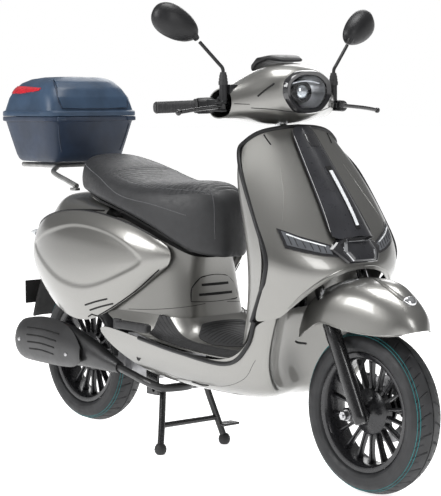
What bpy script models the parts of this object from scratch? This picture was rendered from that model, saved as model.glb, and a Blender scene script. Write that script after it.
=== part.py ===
"""Step-through moped scooter with a top case: every piece that holds it up, encloses it or moves.

Bike coordinates, in metres: x forward from the rear axle, y to the rider's left, z up from the ground.
The empty "scooter" moves the lot so that the origin is under the middle of the overall length.
"""

import math

import bmesh
import bpy
from mathutils import Matrix, Vector

# ---- driving dimensions -------------------------------------------------------------------------
X_MID = 0.6265  # the rear axle to the middle of the overall length
WHEELBASE = 1.319
WHEEL_R = 0.2295  # a 110/70-12 tyre
TYRE_W = 0.110
RIM_R = 0.165
RIM_W = 0.084
SPOKES = 18
REAR_LIFT = 0.022  # the centre stand holds the rear tyre off the ground
AXLE_R = 0.0065
RAKE = math.radians(26.0)
STEER_FOOT = Vector((1.321, 0.0, WHEEL_R))  # where the steering axis passes the axle's height
LEG_AHEAD = 0.035  # the fork legs stand this far ahead of the steering axis
LEG_Y = 0.088
LEG_R = 0.0225
STANCHION_R = 0.0150
FORK_TRAVEL = 0.070
SHELL = 0.003  # the body panels' thickness
GAP = 0.0005
BAR_R = 0.0110
GRIP_R = 0.0165
SEAT_BASE_T = 0.007
SEAT_PAD_GAP = 0.004  # the cushion clears its base by this much

FRONT_AXLE = Vector((WHEELBASE, 0.0, WHEEL_R))
REAR_AXLE = Vector((0.0, 0.0, WHEEL_R + REAR_LIFT))
STEER_AXIS = Vector((-math.sin(RAKE), 0.0, math.cos(RAKE)))
AHEAD = Vector((math.cos(RAKE), 0.0, math.sin(RAKE)))  # square to the steering axis, forwards
SPIN = Vector((0.0, 1.0, 0.0))
ENGINE_PIVOT = Vector((0.470, 0.0, 0.315))
STAND_PIVOT = Vector((0.485, 0.0, 0.195))
SEAT_HINGE = Vector((0.690, 0.0, 0.6130))
LID_HINGE = Vector((0.0325, 0.0, 1.0295))
KICK_PIVOT = Vector((0.300, 0.155, 0.262))
SHOCK_TOP = Vector((0.045, 0.118, 0.600))
SHOCK_FOOT = Vector((-0.020, 0.118, 0.345))
PEG_HINGE = Vector((0.430, 0.219, 0.404))
MIRROR_BASE = Vector((0.935, 0.211, 1.128))
MIRROR_TOP = Vector((0.918, 0.288, 1.249))
GRIP_START = Vector((0.878, 0.195, 1.068))
GRIP_END = Vector((0.818, 0.360, 1.062))

PAINT = {  # colour, roughness, metallic
    "silver": ((0.47, 0.47, 0.45), 0.25, 0.8),
    "black_gloss": ((0.02, 0.02, 0.025), 0.15, 0.0),
    "black_satin": ((0.03, 0.03, 0.03), 0.5, 0.0),
    "rubber": ((0.02, 0.02, 0.02), 0.85, 0.0),
    "steel": ((0.6, 0.6, 0.62), 0.3, 1.0),
    "cast": ((0.45, 0.45, 0.46), 0.45, 0.9),
    "vinyl": ((0.045, 0.045, 0.05), 0.6, 0.0),
    "case_blue": ((0.05, 0.075, 0.11), 0.5, 0.0),
    "lens": ((0.8, 0.82, 0.85), 0.05, 0.0),
    "red": ((0.6, 0.02, 0.03), 0.1, 0.0),
    "mirror": ((0.03, 0.03, 0.03), 0.35, 0.0),
    "frame": ((0.03, 0.03, 0.03), 0.4, 0.6),
    "exhaust": ((0.09, 0.09, 0.09), 0.45, 0.5),
}


def clear_scene():
    for obj in list(bpy.data.objects):
        bpy.data.objects.remove(obj, do_unlink=True)


def material(name):
    found = bpy.data.materials.get(name)
    if found:
        return found
    made = bpy.data.materials.new(name)
    made.use_nodes = True
    shader = made.node_tree.nodes["Principled BSDF"]
    colour, roughness, metallic = PAINT[name]
    shader.inputs["Base Color"].default_value = (*colour, 1.0)
    shader.inputs["Roughness"].default_value = roughness
    shader.inputs["Metallic"].default_value = metallic
    return made


# ---- shape helpers: each returns an object at the origin whose mesh is in bike coordinates --------
def add(name, mesh):
    obj = bpy.data.objects.new(name, mesh)
    PARTS.objects.link(obj)
    return obj


def baked(obj):
    """The object's mesh with its modifiers applied and its faces pointing out."""
    bpy.context.view_layer.update()
    evaluated = obj.evaluated_get(bpy.context.evaluated_depsgraph_get())
    mesh = bpy.data.meshes.new_from_object(evaluated)
    work = bmesh.new()
    work.from_mesh(mesh)
    bmesh.ops.remove_doubles(work, verts=work.verts, dist=1e-6)
    bmesh.ops.recalc_face_normals(work, faces=work.faces)
    work.to_mesh(mesh)
    work.free()
    obj.modifiers.clear()
    if obj.type == "MESH":
        obj.data = mesh
        return obj
    made = add(obj.name + "_mesh", mesh)
    made.matrix_world = obj.matrix_world
    bpy.data.objects.remove(obj)
    return made


def from_bmesh(name, work):
    mesh = bpy.data.meshes.new(name)
    bmesh.ops.recalc_face_normals(work, faces=work.faces)
    work.to_mesh(mesh)
    work.free()
    return add(name, mesh)


def turn_to(axis):
    """A rotation that carries +Z to axis."""
    return Vector(axis).to_track_quat("Z", "Y").to_matrix().to_4x4()


def box(name, low, high, bevel=0.0):
    work = bmesh.new()
    bmesh.ops.create_cube(work, size=1.0)
    low, high = Vector(low), Vector(high)
    for v in work.verts:
        v.co = Vector((low[i] + (high[i] - low[i]) * (v.co[i] + 0.5)) for i in range(3))
    obj = from_bmesh(name, work)
    if bevel:
        rounded = obj.modifiers.new("Bevel", "BEVEL")
        rounded.width = bevel
        rounded.segments = 1
        obj = baked(obj)
    return obj


def rod(name, start, end, radius, sides=16, radius_end=None):
    """A cylinder or cone from start to end."""
    start, end = Vector(start), Vector(end)
    work = bmesh.new()
    bmesh.ops.create_cone(
        work, cap_ends=True, segments=sides, radius1=radius,
        radius2=radius if radius_end is None else radius_end, depth=(end - start).length,
    )
    place = Matrix.Translation((start + end) / 2) @ turn_to(end - start)
    bmesh.ops.transform(work, matrix=place, verts=work.verts)
    return from_bmesh(name, work)


def ball(name, centre, radius, segments=12):
    work = bmesh.new()
    bmesh.ops.create_uvsphere(work, u_segments=segments, v_segments=segments // 2, radius=radius)
    bmesh.ops.translate(work, vec=Vector(centre), verts=work.verts)
    return from_bmesh(name, work)


def turned(name, profile, centre, axis, steps=32):
    """A profile of (radius, height) points turned about axis. A profile off the axis closes on itself."""
    work = bmesh.new()
    verts = [work.verts.new((r, 0.0, h)) for r, h in profile]
    for a, b in zip(verts, verts[1:]):
        work.edges.new((a, b))
    if min(r for r, _ in profile) > 0:
        work.edges.new((verts[-1], verts[0]))
    mesh = bpy.data.meshes.new(name)
    work.to_mesh(mesh)
    work.free()
    obj = add(name, mesh)
    screw = obj.modifiers.new("Screw", "SCREW")
    screw.axis = "Z"
    screw.steps = screw.render_steps = steps
    screw.use_merge_vertices = True
    screw.merge_threshold = 1e-5
    obj = baked(obj)
    obj.data.transform(Matrix.Translation(centre) @ turn_to(axis))
    return obj


def smooth_path(points, per_span=4):
    """Points read along a Catmull-Rom curve through the given ones."""
    pts = [Vector(p) for p in points]
    pts = [2 * pts[0] - pts[1], *pts, 2 * pts[-1] - pts[-2]]
    path = []
    for a, b, c, d in zip(pts, pts[1:], pts[2:], pts[3:]):
        for k in range(per_span):
            t = k / per_span
            path.append(0.5 * (2 * b + (c - a) * t + (2 * a - 5 * b + 4 * c - d) * t**2
                               + (3 * b - a - 3 * c + d) * t**3))
    return [*path, pts[-2]]


def tube(name, points, radius, resolution=2):
    """A round bar along points."""
    curve = bpy.data.curves.new(name, "CURVE")
    curve.dimensions = "3D"
    curve.bevel_depth = radius
    curve.bevel_resolution = resolution
    curve.use_fill_caps = True
    spline = curve.splines.new("POLY")
    spline.points.add(len(points) - 1)
    for point, co in zip(spline.points, points):
        point.co = (*co, 1.0)
    obj = bpy.data.objects.new(name, curve)
    PARTS.objects.link(obj)
    made = baked(obj)
    made.name = name
    return made


def grid_faces(work, rows, closed=False):
    """Quads between rows of points. closed joins each row's last point to its first."""
    verts = [[work.verts.new(Vector(p)) for p in row] for row in rows]
    width = len(rows[0])
    for upper, lower in zip(verts, verts[1:]):
        for j in range(width if closed else width - 1):
            k = (j + 1) % width
            work.faces.new((upper[j], upper[k], lower[k], lower[j]))
    return verts


def panel(name, rows, thickness=SHELL, side=1.0, mirror=True, levels=1, closed=False):
    """A thin shell: a cage of rows, smoothed, mirrored across y = 0 and thickened inwards or outwards."""
    work = bmesh.new()
    grid_faces(work, rows, closed)
    mesh = bpy.data.meshes.new(name)
    work.to_mesh(mesh)
    work.free()
    obj = add(name, mesh)
    if mirror:
        half = obj.modifiers.new("Mirror", "MIRROR")
        half.use_axis = (False, True, False)
        half.merge_threshold = 1e-4
    smooth = obj.modifiers.new("Subdivision", "SUBSURF")
    smooth.levels = smooth.render_levels = levels
    shell = obj.modifiers.new("Solidify", "SOLIDIFY")
    shell.thickness = thickness
    shell.offset = -side
    return baked(obj)


def loft(name, rings, levels=1):
    """A closed body through rings of points, its ends capped."""
    work = bmesh.new()
    verts = grid_faces(work, rings, closed=True)
    work.faces.new(verts[0])
    work.faces.new(verts[-1])
    bmesh.ops.recalc_face_normals(work, faces=work.faces)
    obj = from_bmesh(name, work)
    if levels:
        smooth = obj.modifiers.new("Subdivision", "SUBSURF")
        smooth.levels = smooth.render_levels = levels
        obj = baked(obj)
    return obj


def ring_x(x, half):
    """A closed ring square to x from half an outline of (y, z), top centre to bottom centre."""
    left = [(x, y, z) for y, z in half]
    return left + [(x, -y, z) for y, z in reversed(half) if y > 0]


def combine(name, first, others, operation="UNION"):
    """first joined with, or cut by, the others."""
    for other in others:
        boolean = first.modifiers.new("Boolean", "BOOLEAN")
        boolean.operation = operation
        boolean.solver = "EXACT"
        boolean.object = other
    first = baked(first)
    for other in others:
        bpy.data.objects.remove(other)
    first.name = name
    return first


def cut(obj, *cutters):
    return combine(obj.name, obj, cutters, "DIFFERENCE")


def mirrored(name, obj):
    """A copy on the other side of y = 0."""
    mesh = obj.data.copy()
    mesh.transform(Matrix.Scale(-1.0, 4, (0.0, 1.0, 0.0)))
    mesh.flip_normals()
    return add(name, mesh)


def flip_y(point):
    return Vector((point[0], -point[1], point[2]))


# ---- bodies -------------------------------------------------------------------------------------
def make_body(name, pivot, parent=None):
    """An empty on the body's joint axis."""
    empty = bpy.data.objects.new(name + "_axis", None)
    PARTS.objects.link(empty)
    BODIES[name] = (empty, Vector(pivot))
    if parent:
        parent_empty, parent_pivot = BODIES[parent]
        empty.parent = parent_empty
        empty.location = Vector(pivot) - parent_pivot
    else:
        empty.location = Vector(pivot)
    empty.empty_display_size = 0.05


def fix(obj, node, body, paint):
    """Names a finished piece, paints it and hangs it on its body's empty."""
    obj.name = obj.data.name = node
    obj.data.materials.clear()
    obj.data.materials.append(material(paint))
    obj.data.shade_smooth()
    obj.data.set_sharp_from_angle(angle=math.radians(35))
    empty, pivot = BODIES[body]
    obj.parent = empty
    obj.location = -pivot


def on_steer(height, ahead=0.0, side=0.0):
    """A point at this height on the steering axis, moved square to it."""
    along = (height - STEER_FOOT.z) / STEER_AXIS.z
    return STEER_FOOT + STEER_AXIS * along + AHEAD * ahead + SPIN * side


def on_leg(height, side):
    """A point on a fork leg's centre line."""
    foot = STEER_FOOT + AHEAD * LEG_AHEAD + SPIN * (LEG_Y * side)
    return foot + STEER_AXIS * ((height - foot.z) / STEER_AXIS.z)


def make_bodies():
    make_body("scooter", (0.0, 0.0, 0.0))
    make_body("steering", on_steer(0.80), "scooter")
    make_body("front_suspension", on_leg(0.45, 0), "steering")
    make_body("front_wheel", FRONT_AXLE, "front_suspension")
    make_body("throttle", flip_y(GRIP_START), "steering")
    for side, sign in (("left", 1), ("right", -1)):
        mirror_side = (lambda p: p) if sign > 0 else flip_y
        make_body(f"lever_{side}", mirror_side(LEVER_PIVOT), "steering")
        make_body(f"mirror_stem_{side}", mirror_side(MIRROR_BASE), "steering")
        make_body(f"mirror_head_{side}", mirror_side(MIRROR_TOP), f"mirror_stem_{side}")
        make_body(f"peg_{side}", mirror_side(PEG_HINGE), "scooter")
    make_body("starter_button", flip_y(GRIP_START), "steering")
    make_body("horn_button", GRIP_START, "steering")
    make_body("turn_switch", GRIP_START, "steering")
    make_body("ignition", KEY_CENTRE, "scooter")
    make_body("seat", SEAT_HINGE, "scooter")
    make_body("fuel_cap", FUEL_CAP, "scooter")
    make_body("case_lid", LID_HINGE, "scooter")
    make_body("case_lock", CASE_LOCK, "case_lid")
    make_body("engine", ENGINE_PIVOT, "scooter")
    make_body("rear_wheel", REAR_AXLE, "engine")
    make_body("kick_lever", KICK_PIVOT, "engine")
    make_body("shock_upper", SHOCK_TOP, "scooter")
    make_body("shock_lower", SHOCK_FOOT, "shock_upper")
    make_body("stand", STAND_PIVOT, "scooter")


BODIES = {}
LEVER_PIVOT = Vector((0.9480, 0.226, 1.064))
KEY_CENTRE = Vector((0.938, -0.075, 0.890))
FUEL_CAP = Vector((0.130, 0.0, 0.742))
CASE_LOCK = Vector((-0.2910, 0.0, 1.0380))


# ---- frame --------------------------------------------------------------------------------------
def main_frame():
    """Head tube, down tube, floor spine, two rear rails, and the engine and stand brackets."""
    head = rod("head_tube", on_steer(0.705), on_steer(0.925), 0.029, 20)
    spine_path = [on_steer(0.735), (1.030, 0, 0.625), (1.020, 0, 0.500), (1.016, 0, 0.380),
                  (0.965, 0, 0.300), (0.860, 0, 0.285), (0.610, 0, 0.285)]
    pieces = [tube("spine", smooth_path(spine_path, 3), 0.020, 2)]
    for sign in (1, -1):
        rail = [(0.615, 0.0, 0.285), (0.600, 0.100 * sign, 0.290), (0.560, 0.132 * sign, 0.335),
                (0.460, 0.140 * sign, 0.440), (0.300, 0.142 * sign, 0.570), (0.060, 0.140 * sign, 0.650),
                (-0.010, 0.128 * sign, 0.664)]
        pieces.append(tube("rail", smooth_path(rail, 2), 0.0120, 1))
        bracket = box("bracket", (0.450, 0.118 * sign - 0.004, 0.180),
                      (0.505, 0.118 * sign + 0.004, 0.430), 0.0)
        pieces.append(bracket)
    pieces.append(rod("cross_low", (0.470, -0.142, 0.425), (0.470, 0.142, 0.425), 0.010, 12))
    pieces.append(rod("cross_rear", (0.020, -0.145, 0.665), (0.020, 0.145, 0.665), 0.010, 12))
    frame = combine("main_frame", head, pieces)
    bore = rod("bore", on_steer(0.600), on_steer(0.940), 0.0195, 20)
    pivots = [rod("pin_hole", (p.x, -0.2, p.z), (p.x, 0.2, p.z), r, 12)
              for p, r in ((ENGINE_PIVOT, 0.0068), (STAND_PIVOT, 0.0068))]
    fix(cut(frame, bore, *pivots), "main_frame", "scooter", "frame")


# ---- body panels --------------------------------------------------------------------------------
APRON = [  # rows from the top edge down; each runs from the centre, or the wheel arch, to the outer edge
    [(1.018, 0, 1.006), (1.012, 0.070, 1.002), (0.998, 0.130, 0.990), (0.986, 0.170, 0.966),
     (0.985, 0.192, 0.940)],
    [(1.095, 0, 0.902), (1.087, 0.080, 0.899), (1.066, 0.150, 0.893), (1.046, 0.198, 0.884),
     (1.036, 0.224, 0.872)],
    [(1.190, 0, 0.778), (1.180, 0.090, 0.774), (1.158, 0.165, 0.768), (1.130, 0.217, 0.761),
     (1.112, 0.242, 0.752)],
    [(1.252, 0, 0.688), (1.240, 0.090, 0.682), (1.214, 0.170, 0.674), (1.184, 0.226, 0.668),
     (1.162, 0.249, 0.660)],
    [(1.290, 0, 0.632), (1.277, 0.085, 0.622), (1.240, 0.170, 0.612), (1.192, 0.226, 0.606),
     (1.155, 0.246, 0.600)],
    [(1.262, 0.130, 0.596), (1.240, 0.160, 0.580), (1.205, 0.190, 0.566), (1.160, 0.217, 0.556),
     (1.118, 0.231, 0.550)],
    [(1.158, 0.187, 0.492), (1.148, 0.194, 0.486), (1.125, 0.203, 0.480), (1.098, 0.212, 0.474),
     (1.068, 0.218, 0.470)],
]
TIE = [  # a ridge down the apron's middle
    [(1.046, 0, 1.008), (1.038, 0.024, 1.006), (1.020, 0.040, 1.003)],
    [(1.133, 0, 0.905), (1.124, 0.030, 0.902), (1.099, 0.053, 0.896)],
    [(1.237, 0, 0.776), (1.226, 0.038, 0.773), (1.190, 0.068, 0.772)],
    [(1.272, 0, 0.712), (1.262, 0.044, 0.704), (1.238, 0.080, 0.698)],
]
INNER_SHIELD = [
    [(0.893, 0, 0.990), (0.900, 0.070, 0.985), (0.925, 0.130, 0.972), (0.955, 0.172, 0.950),
     (0.978, 0.190, 0.930)],
    [(0.915, 0, 0.880), (0.918, 0.100, 0.880), (0.935, 0.165, 0.878), (0.975, 0.208, 0.874),
     (1.025, 0.221, 0.866)],
    [(0.958, 0, 0.760), (0.960, 0.110, 0.760), (0.980, 0.180, 0.758), (1.030, 0.228, 0.755),
     (1.098, 0.240, 0.750)],
    [(0.980, 0, 0.655), (0.982, 0.110, 0.655), (1.000, 0.180, 0.655), (1.060, 0.234, 0.655),
     (1.146, 0.246, 0.655)],
    [(0.985, 0, 0.560), (0.986, 0.110, 0.560), (1.000, 0.170, 0.560), (1.040, 0.216, 0.555),
     (1.105, 0.229, 0.550)],
    [(0.972, 0, 0.470), (0.972, 0.110, 0.470), (0.982, 0.162, 0.468), (1.010, 0.200, 0.466),
     (1.056, 0.214, 0.468)],
    [(0.960, 0, 0.425), (0.958, 0.110, 0.405), (0.965, 0.160, 0.398), (0.985, 0.190, 0.396),
     (1.018, 0.203, 0.400)],
]
FOOTBOARD = [
    [(0.990, 0, 0.385), (0.985, 0.060, 0.380), (0.985, 0.100, 0.365), (0.990, 0.150, 0.360),
     (1.000, 0.194, 0.360)],
    [(0.930, 0, 0.385), (0.930, 0.060, 0.380), (0.930, 0.100, 0.352), (0.930, 0.150, 0.342),
     (0.940, 0.196, 0.345)],
    [(0.800, 0, 0.388), (0.796, 0.064, 0.384), (0.785, 0.104, 0.357), (0.765, 0.150, 0.349),
     (0.740, 0.197, 0.351)],
    [(0.710, 0, 0.396), (0.705, 0.076, 0.392), (0.690, 0.120, 0.372), (0.650, 0.158, 0.362),
     (0.580, 0.198, 0.364)],
    [(0.672, 0, 0.412), (0.670, 0.082, 0.410), (0.658, 0.128, 0.400), (0.590, 0.166, 0.392),
     (0.450, 0.198, 0.388)],
    [(0.655, 0, 0.430), (0.653, 0.084, 0.430), (0.642, 0.128, 0.430), (0.545, 0.172, 0.432),
     (0.310, 0.198, 0.436)],
]
FAIRING = [  # rows from the middle of the wheel well's wall, out to its edge, then back along the body
    [(1.046, 0, 0.300), (1.046, 0, 0.340), (1.046, 0, 0.380), (1.047, 0, 0.420), (1.048, 0, 0.460),
     (1.050, 0, 0.500)],
    [(1.046, 0, 0.285), (1.048, 0.060, 0.290), (1.052, 0.100, 0.330), (1.053, 0.105, 0.380),
     (1.056, 0.105, 0.430), (1.062, 0.105, 0.490)],
    [(1.042, 0, 0.275), (1.050, 0.070, 0.266), (1.076, 0.138, 0.290), (1.082, 0.160, 0.330),
     (1.092, 0.164, 0.400), (1.110, 0.162, 0.480)],
    [(1.038, 0, 0.268), (1.052, 0.080, 0.252), (1.098, 0.152, 0.262), (1.100, 0.190, 0.320),
     (1.112, 0.193, 0.395), (1.146, 0.189, 0.474)],
    [(1.002, 0, 0.236), (1.012, 0.085, 0.233), (1.052, 0.162, 0.250), (1.062, 0.196, 0.320),
     (1.078, 0.207, 0.395), (1.072, 0.218, 0.456)],
    [(0.930, 0, 0.222), (0.930, 0.090, 0.222), (0.960, 0.165, 0.244), (0.990, 0.198, 0.295),
     (1.020, 0.209, 0.345), (1.035, 0.212, 0.395)],
    [(0.850, 0, 0.220), (0.850, 0.090, 0.220), (0.860, 0.160, 0.240), (0.870, 0.194, 0.280),
     (0.895, 0.207, 0.310), (0.940, 0.211, 0.336)],
    [(0.720, 0, 0.221), (0.720, 0.090, 0.221), (0.715, 0.155, 0.240), (0.705, 0.190, 0.280),
     (0.700, 0.206, 0.318), (0.720, 0.210, 0.346)],
    [(0.620, 0, 0.224), (0.620, 0.090, 0.224), (0.600, 0.150, 0.244), (0.565, 0.186, 0.286),
     (0.540, 0.204, 0.330), (0.530, 0.210, 0.368)],
    [(0.565, 0, 0.228), (0.560, 0.090, 0.228), (0.520, 0.152, 0.252), (0.420, 0.190, 0.302),
     (0.340, 0.205, 0.352), (0.305, 0.210, 0.398)],
]
TOWER = [
    [(0.652, 0, 0.436), (0.650, 0.070, 0.436), (0.640, 0.112, 0.437), (0.585, 0.148, 0.439),
     (0.500, 0.170, 0.442), (0.410, 0.184, 0.445), (0.300, 0.187, 0.449)],
    [(0.640, 0, 0.500), (0.638, 0.066, 0.500), (0.626, 0.106, 0.500), (0.575, 0.142, 0.504),
     (0.500, 0.166, 0.510), (0.420, 0.181, 0.516), (0.310, 0.185, 0.522)],
    [(0.632, 0, 0.556), (0.630, 0.060, 0.557), (0.617, 0.098, 0.562), (0.568, 0.134, 0.582),
     (0.500, 0.160, 0.604), (0.425, 0.175, 0.624), (0.320, 0.182, 0.635)],
    [(0.634, 0, 0.606), (0.632, 0.056, 0.610), (0.616, 0.092, 0.620), (0.564, 0.126, 0.652),
     (0.500, 0.150, 0.682), (0.430, 0.164, 0.712), (0.330, 0.166, 0.738)],
]
TAIL = [  # rows from the front round to the tail; each runs from the deck under the seat to the lower edge
    [(0.318, 0.150, 0.744), (0.316, 0.168, 0.740), (0.312, 0.182, 0.700), (0.305, 0.188, 0.620)],
    [(0.205, 0.130, 0.762), (0.200, 0.160, 0.757), (0.200, 0.178, 0.722), (0.200, 0.190, 0.640)],
    [(0.120, 0.095, 0.776), (0.080, 0.140, 0.773), (0.060, 0.164, 0.728), (0.050, 0.178, 0.645)],
    [(0.092, 0.062, 0.780), (0.005, 0.106, 0.780), (-0.030, 0.132, 0.724), (-0.080, 0.138, 0.640)],
    [(0.084, 0.030, 0.782), (-0.048, 0.060, 0.782), (-0.092, 0.082, 0.720), (-0.150, 0.085, 0.630)],
    [(0.083, 0.0, 0.783), (-0.066, 0.0, 0.784), (-0.118, 0.0, 0.720), (-0.180, 0.0, 0.625)],
]
COWL = [  # rows from the front tip to the tail; each runs from the top edge to the bottom edge
    [(0.570, 0.138, 0.650), (0.592, 0.138, 0.634), (0.602, 0.139, 0.613), (0.590, 0.141, 0.590),
     (0.564, 0.145, 0.570)],
    [(0.498, 0.170, 0.693), (0.520, 0.184, 0.663), (0.531, 0.192, 0.610), (0.514, 0.190, 0.548),
     (0.482, 0.180, 0.503)],
    [(0.385, 0.188, 0.724), (0.400, 0.216, 0.685), (0.410, 0.232, 0.610), (0.402, 0.226, 0.520),
     (0.390, 0.199, 0.447)],
    [(0.245, 0.195, 0.742), (0.255, 0.226, 0.700), (0.260, 0.245, 0.610), (0.262, 0.237, 0.490),
     (0.272, 0.205, 0.392)],
    [(0.100, 0.194, 0.732), (0.110, 0.224, 0.690), (0.110, 0.243, 0.600), (0.120, 0.234, 0.480),
     (0.155, 0.205, 0.398)],
    [(-0.015, 0.178, 0.704), (-0.018, 0.201, 0.670), (-0.018, 0.215, 0.590), (0.004, 0.206, 0.500),
     (0.044, 0.188, 0.438)],
    [(-0.090, 0.148, 0.672), (-0.098, 0.162, 0.645), (-0.103, 0.170, 0.582), (-0.088, 0.166, 0.522),
     (-0.052, 0.154, 0.475)],
    [(-0.140, 0.118, 0.640), (-0.150, 0.123, 0.618), (-0.155, 0.127, 0.580), (-0.142, 0.124, 0.545),
     (-0.106, 0.122, 0.512)],
]
FENDER = [
    [(1.512, 0, 0.470), (1.508, 0.022, 0.469), (1.498, 0.040, 0.466), (1.482, 0.053, 0.460)],
    [(1.500, 0, 0.515), (1.494, 0.036, 0.510), (1.476, 0.064, 0.494), (1.454, 0.082, 0.456)],
    [(1.442, 0, 0.564), (1.436, 0.046, 0.558), (1.414, 0.088, 0.528), (1.394, 0.104, 0.458)],
    [(1.385, 0, 0.590), (1.380, 0.050, 0.585), (1.362, 0.104, 0.554), (1.342, 0.116, 0.462)],
    [(1.318, 0, 0.601), (1.314, 0.054, 0.596), (1.302, 0.112, 0.562), (1.286, 0.124, 0.473)],
    [(1.250, 0, 0.595), (1.250, 0.055, 0.590), (1.245, 0.116, 0.556), (1.236, 0.126, 0.478)],
    [(1.172, 0, 0.568), (1.172, 0.052, 0.563), (1.172, 0.104, 0.530), (1.176, 0.116, 0.452)],
    [(1.112, 0, 0.520), (1.114, 0.046, 0.515), (1.120, 0.086, 0.490), (1.132, 0.096, 0.432)],
    [(1.082, 0, 0.468), (1.085, 0.040, 0.462), (1.092, 0.070, 0.446), (1.106, 0.080, 0.415)],
]


def flip_rows(rows):
    return [[(x, -y, z) for x, y, z in row] for row in rows]


def body_panels():
    fix(panel("apron", APRON), "front_apron", "scooter", "silver")
    shield = panel("shield", INNER_SHIELD, side=-1.0)
    reach = Vector((0.06, 0, 0))
    lock_hole = rod("lock_hole", KEY_CENTRE - reach, KEY_CENTRE + reach, 0.0165, 16)
    fix(cut(shield, lock_hole), "inner_leg_shield", "scooter", "silver")
    fix(panel("tie", TIE, side=-1.0), "center_tie", "scooter", "black_gloss")
    fix(panel("floor", FOOTBOARD, side=-1.0), "footboard", "scooter", "silver")
    fix(panel("belly", FAIRING, side=1.0), "lower_fairing", "scooter", "silver")
    fix(panel("tower", TOWER, side=1.0), "seat_tower", "scooter", "silver")
    fix(panel("tail", TAIL, side=-1.0), "tail_body", "scooter", "silver")
    cowl = panel("cowl", COWL, mirror=False, side=-1.0)
    fix(mirrored("cowl_right", cowl), "side_cowl_right", "scooter", "silver")
    fix(cowl, "side_cowl_left", "scooter", "silver")


def tail_pieces():
    light = loft("tail_light", [
        ring_x(-0.206, [(0, 0.665), (0.050, 0.660), (0.062, 0.638), (0.050, 0.616), (0, 0.612)]),
        ring_x(-0.176, [(0, 0.672), (0.062, 0.668), (0.075, 0.640), (0.062, 0.612), (0, 0.608)]),
    ], levels=0)
    guard = [  # the inner mudguard runs back from over the tyre and turns down as the plate holder
        [(0.080, 0, 0.580), (0.080, 0.060, 0.575), (0.080, 0.075, 0.540)],
        [(-0.040, 0, 0.590), (-0.040, 0.058, 0.585), (-0.040, 0.074, 0.545)],
        [(-0.140, 0, 0.570), (-0.140, 0.058, 0.565), (-0.140, 0.074, 0.530)],
        [(-0.210, 0, 0.520), (-0.208, 0.056, 0.517), (-0.200, 0.070, 0.490)],
        [(-0.250, 0, 0.440), (-0.248, 0.055, 0.438), (-0.238, 0.066, 0.425)],
        [(-0.283, 0, 0.350), (-0.280, 0.055, 0.348), (-0.270, 0.064, 0.345)],
    ]
    fix(panel("guard", guard, side=1.0), "rear_mudguard", "scooter", "black_satin")
    fix(light, "tail_light", "scooter", "red")


def under_seat():
    """The luggage bucket, open at its top, and the fuel tank with its cap behind it."""
    outer = loft("bucket", [
        ring_x(0.320, [(0, 0.735), (0.112, 0.735), (0.108, 0.480), (0, 0.470)]),
        ring_x(0.480, [(0, 0.690), (0.112, 0.690), (0.104, 0.480), (0, 0.470)]),
        ring_x(0.600, [(0, 0.632), (0.092, 0.632), (0.084, 0.480), (0, 0.470)]),
    ], levels=0)
    inner = loft("hollow", [
        ring_x(0.324, [(0, 0.900), (0.108, 0.900), (0.104, 0.485), (0, 0.475)]),
        ring_x(0.480, [(0, 0.900), (0.108, 0.900), (0.100, 0.485), (0, 0.475)]),
        ring_x(0.596, [(0, 0.900), (0.088, 0.900), (0.080, 0.485), (0, 0.475)]),
    ], levels=0)
    fix(cut(outer, inner), "luggage_bucket", "scooter", "black_satin")
    tank = loft("tank", [
        ring_x(0.010, [(0, 0.728), (0.090, 0.722), (0.104, 0.680), (0.090, 0.620), (0, 0.615)]),
        ring_x(0.120, [(0, 0.732), (0.110, 0.728), (0.122, 0.680), (0.112, 0.610), (0, 0.602)]),
        ring_x(0.290, [(0, 0.722), (0.105, 0.716), (0.118, 0.680), (0.108, 0.610), (0, 0.602)]),
    ], levels=0)
    crossing = rod("room", (0.020, -0.2, 0.665), (0.020, 0.2, 0.665), 0.014, 12)
    fix(cut(tank, crossing), "fuel_tank", "scooter", "black_satin")
    cap = turned("cap", [(0, 0.016), (0.026, 0.016), (0.030, 0.010), (0.030, 0), (0, 0)],
                 (FUEL_CAP.x, 0, 0.7335), (0, 0, 1), 16)
    fix(cap, "fuel_cap", "fuel_cap", "black_satin")


def under_seat_height(x):
    """The height of the seat base's underside, which dips at the nose and rises to the rear."""
    curve = [(0.070, 0.790), (0.200, 0.7715), (0.300, 0.754), (0.400, 0.730), (0.500, 0.695),
             (0.600, 0.648),
             (0.650, 0.622), (0.740, 0.617)]
    for (x0, z0), (x1, z1) in zip(curve, curve[1:]):
        if x <= x1:
            return z0 + (z1 - z0) * (x - x0) / (x1 - x0)
    return curve[-1][1]


def seat():
    stations = [  # x, top height, half width
        (0.736, 0.742, 0.026), (0.722, 0.792, 0.056), (0.690, 0.824, 0.088), (0.635, 0.842, 0.124),
        (0.530, 0.838, 0.162), (0.385, 0.834, 0.180), (0.250, 0.882, 0.174), (0.140, 0.914, 0.132), (0.070,
                                                                                                     0.912,
                                                                                                     0.104),
    ]
    rings = []
    for x, top, half in stations:
        low = under_seat_height(x) + SEAT_BASE_T + SEAT_PAD_GAP
        rise = top - low
        rings.append(ring_x(x, [(0, top), (half * 0.6, top - 0.004), (half * 0.93, low + rise * 0.78),
                                (half, low + rise * 0.35), (half * 0.985, low), (half * 0.6, low), (0,
                                                                                                    low)]))
    fix(loft("cushion", rings), "seat_cushion", "seat", "vinyl")
    half_base = [(0.140, 0.106), (0.250, 0.146), (0.385, 0.152), (0.530, 0.134), (0.635, 0.096),
                 (0.690, 0.066)]
    rings = []
    for x, half in half_base:
        low = under_seat_height(x)
        top = low + SEAT_BASE_T
        rings.append(ring_x(x, [(0, top), (half, top), (half, low), (0, low)]))
    fix(loft("base", rings, levels=0), "seat_base", "seat", "black_satin")


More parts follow.
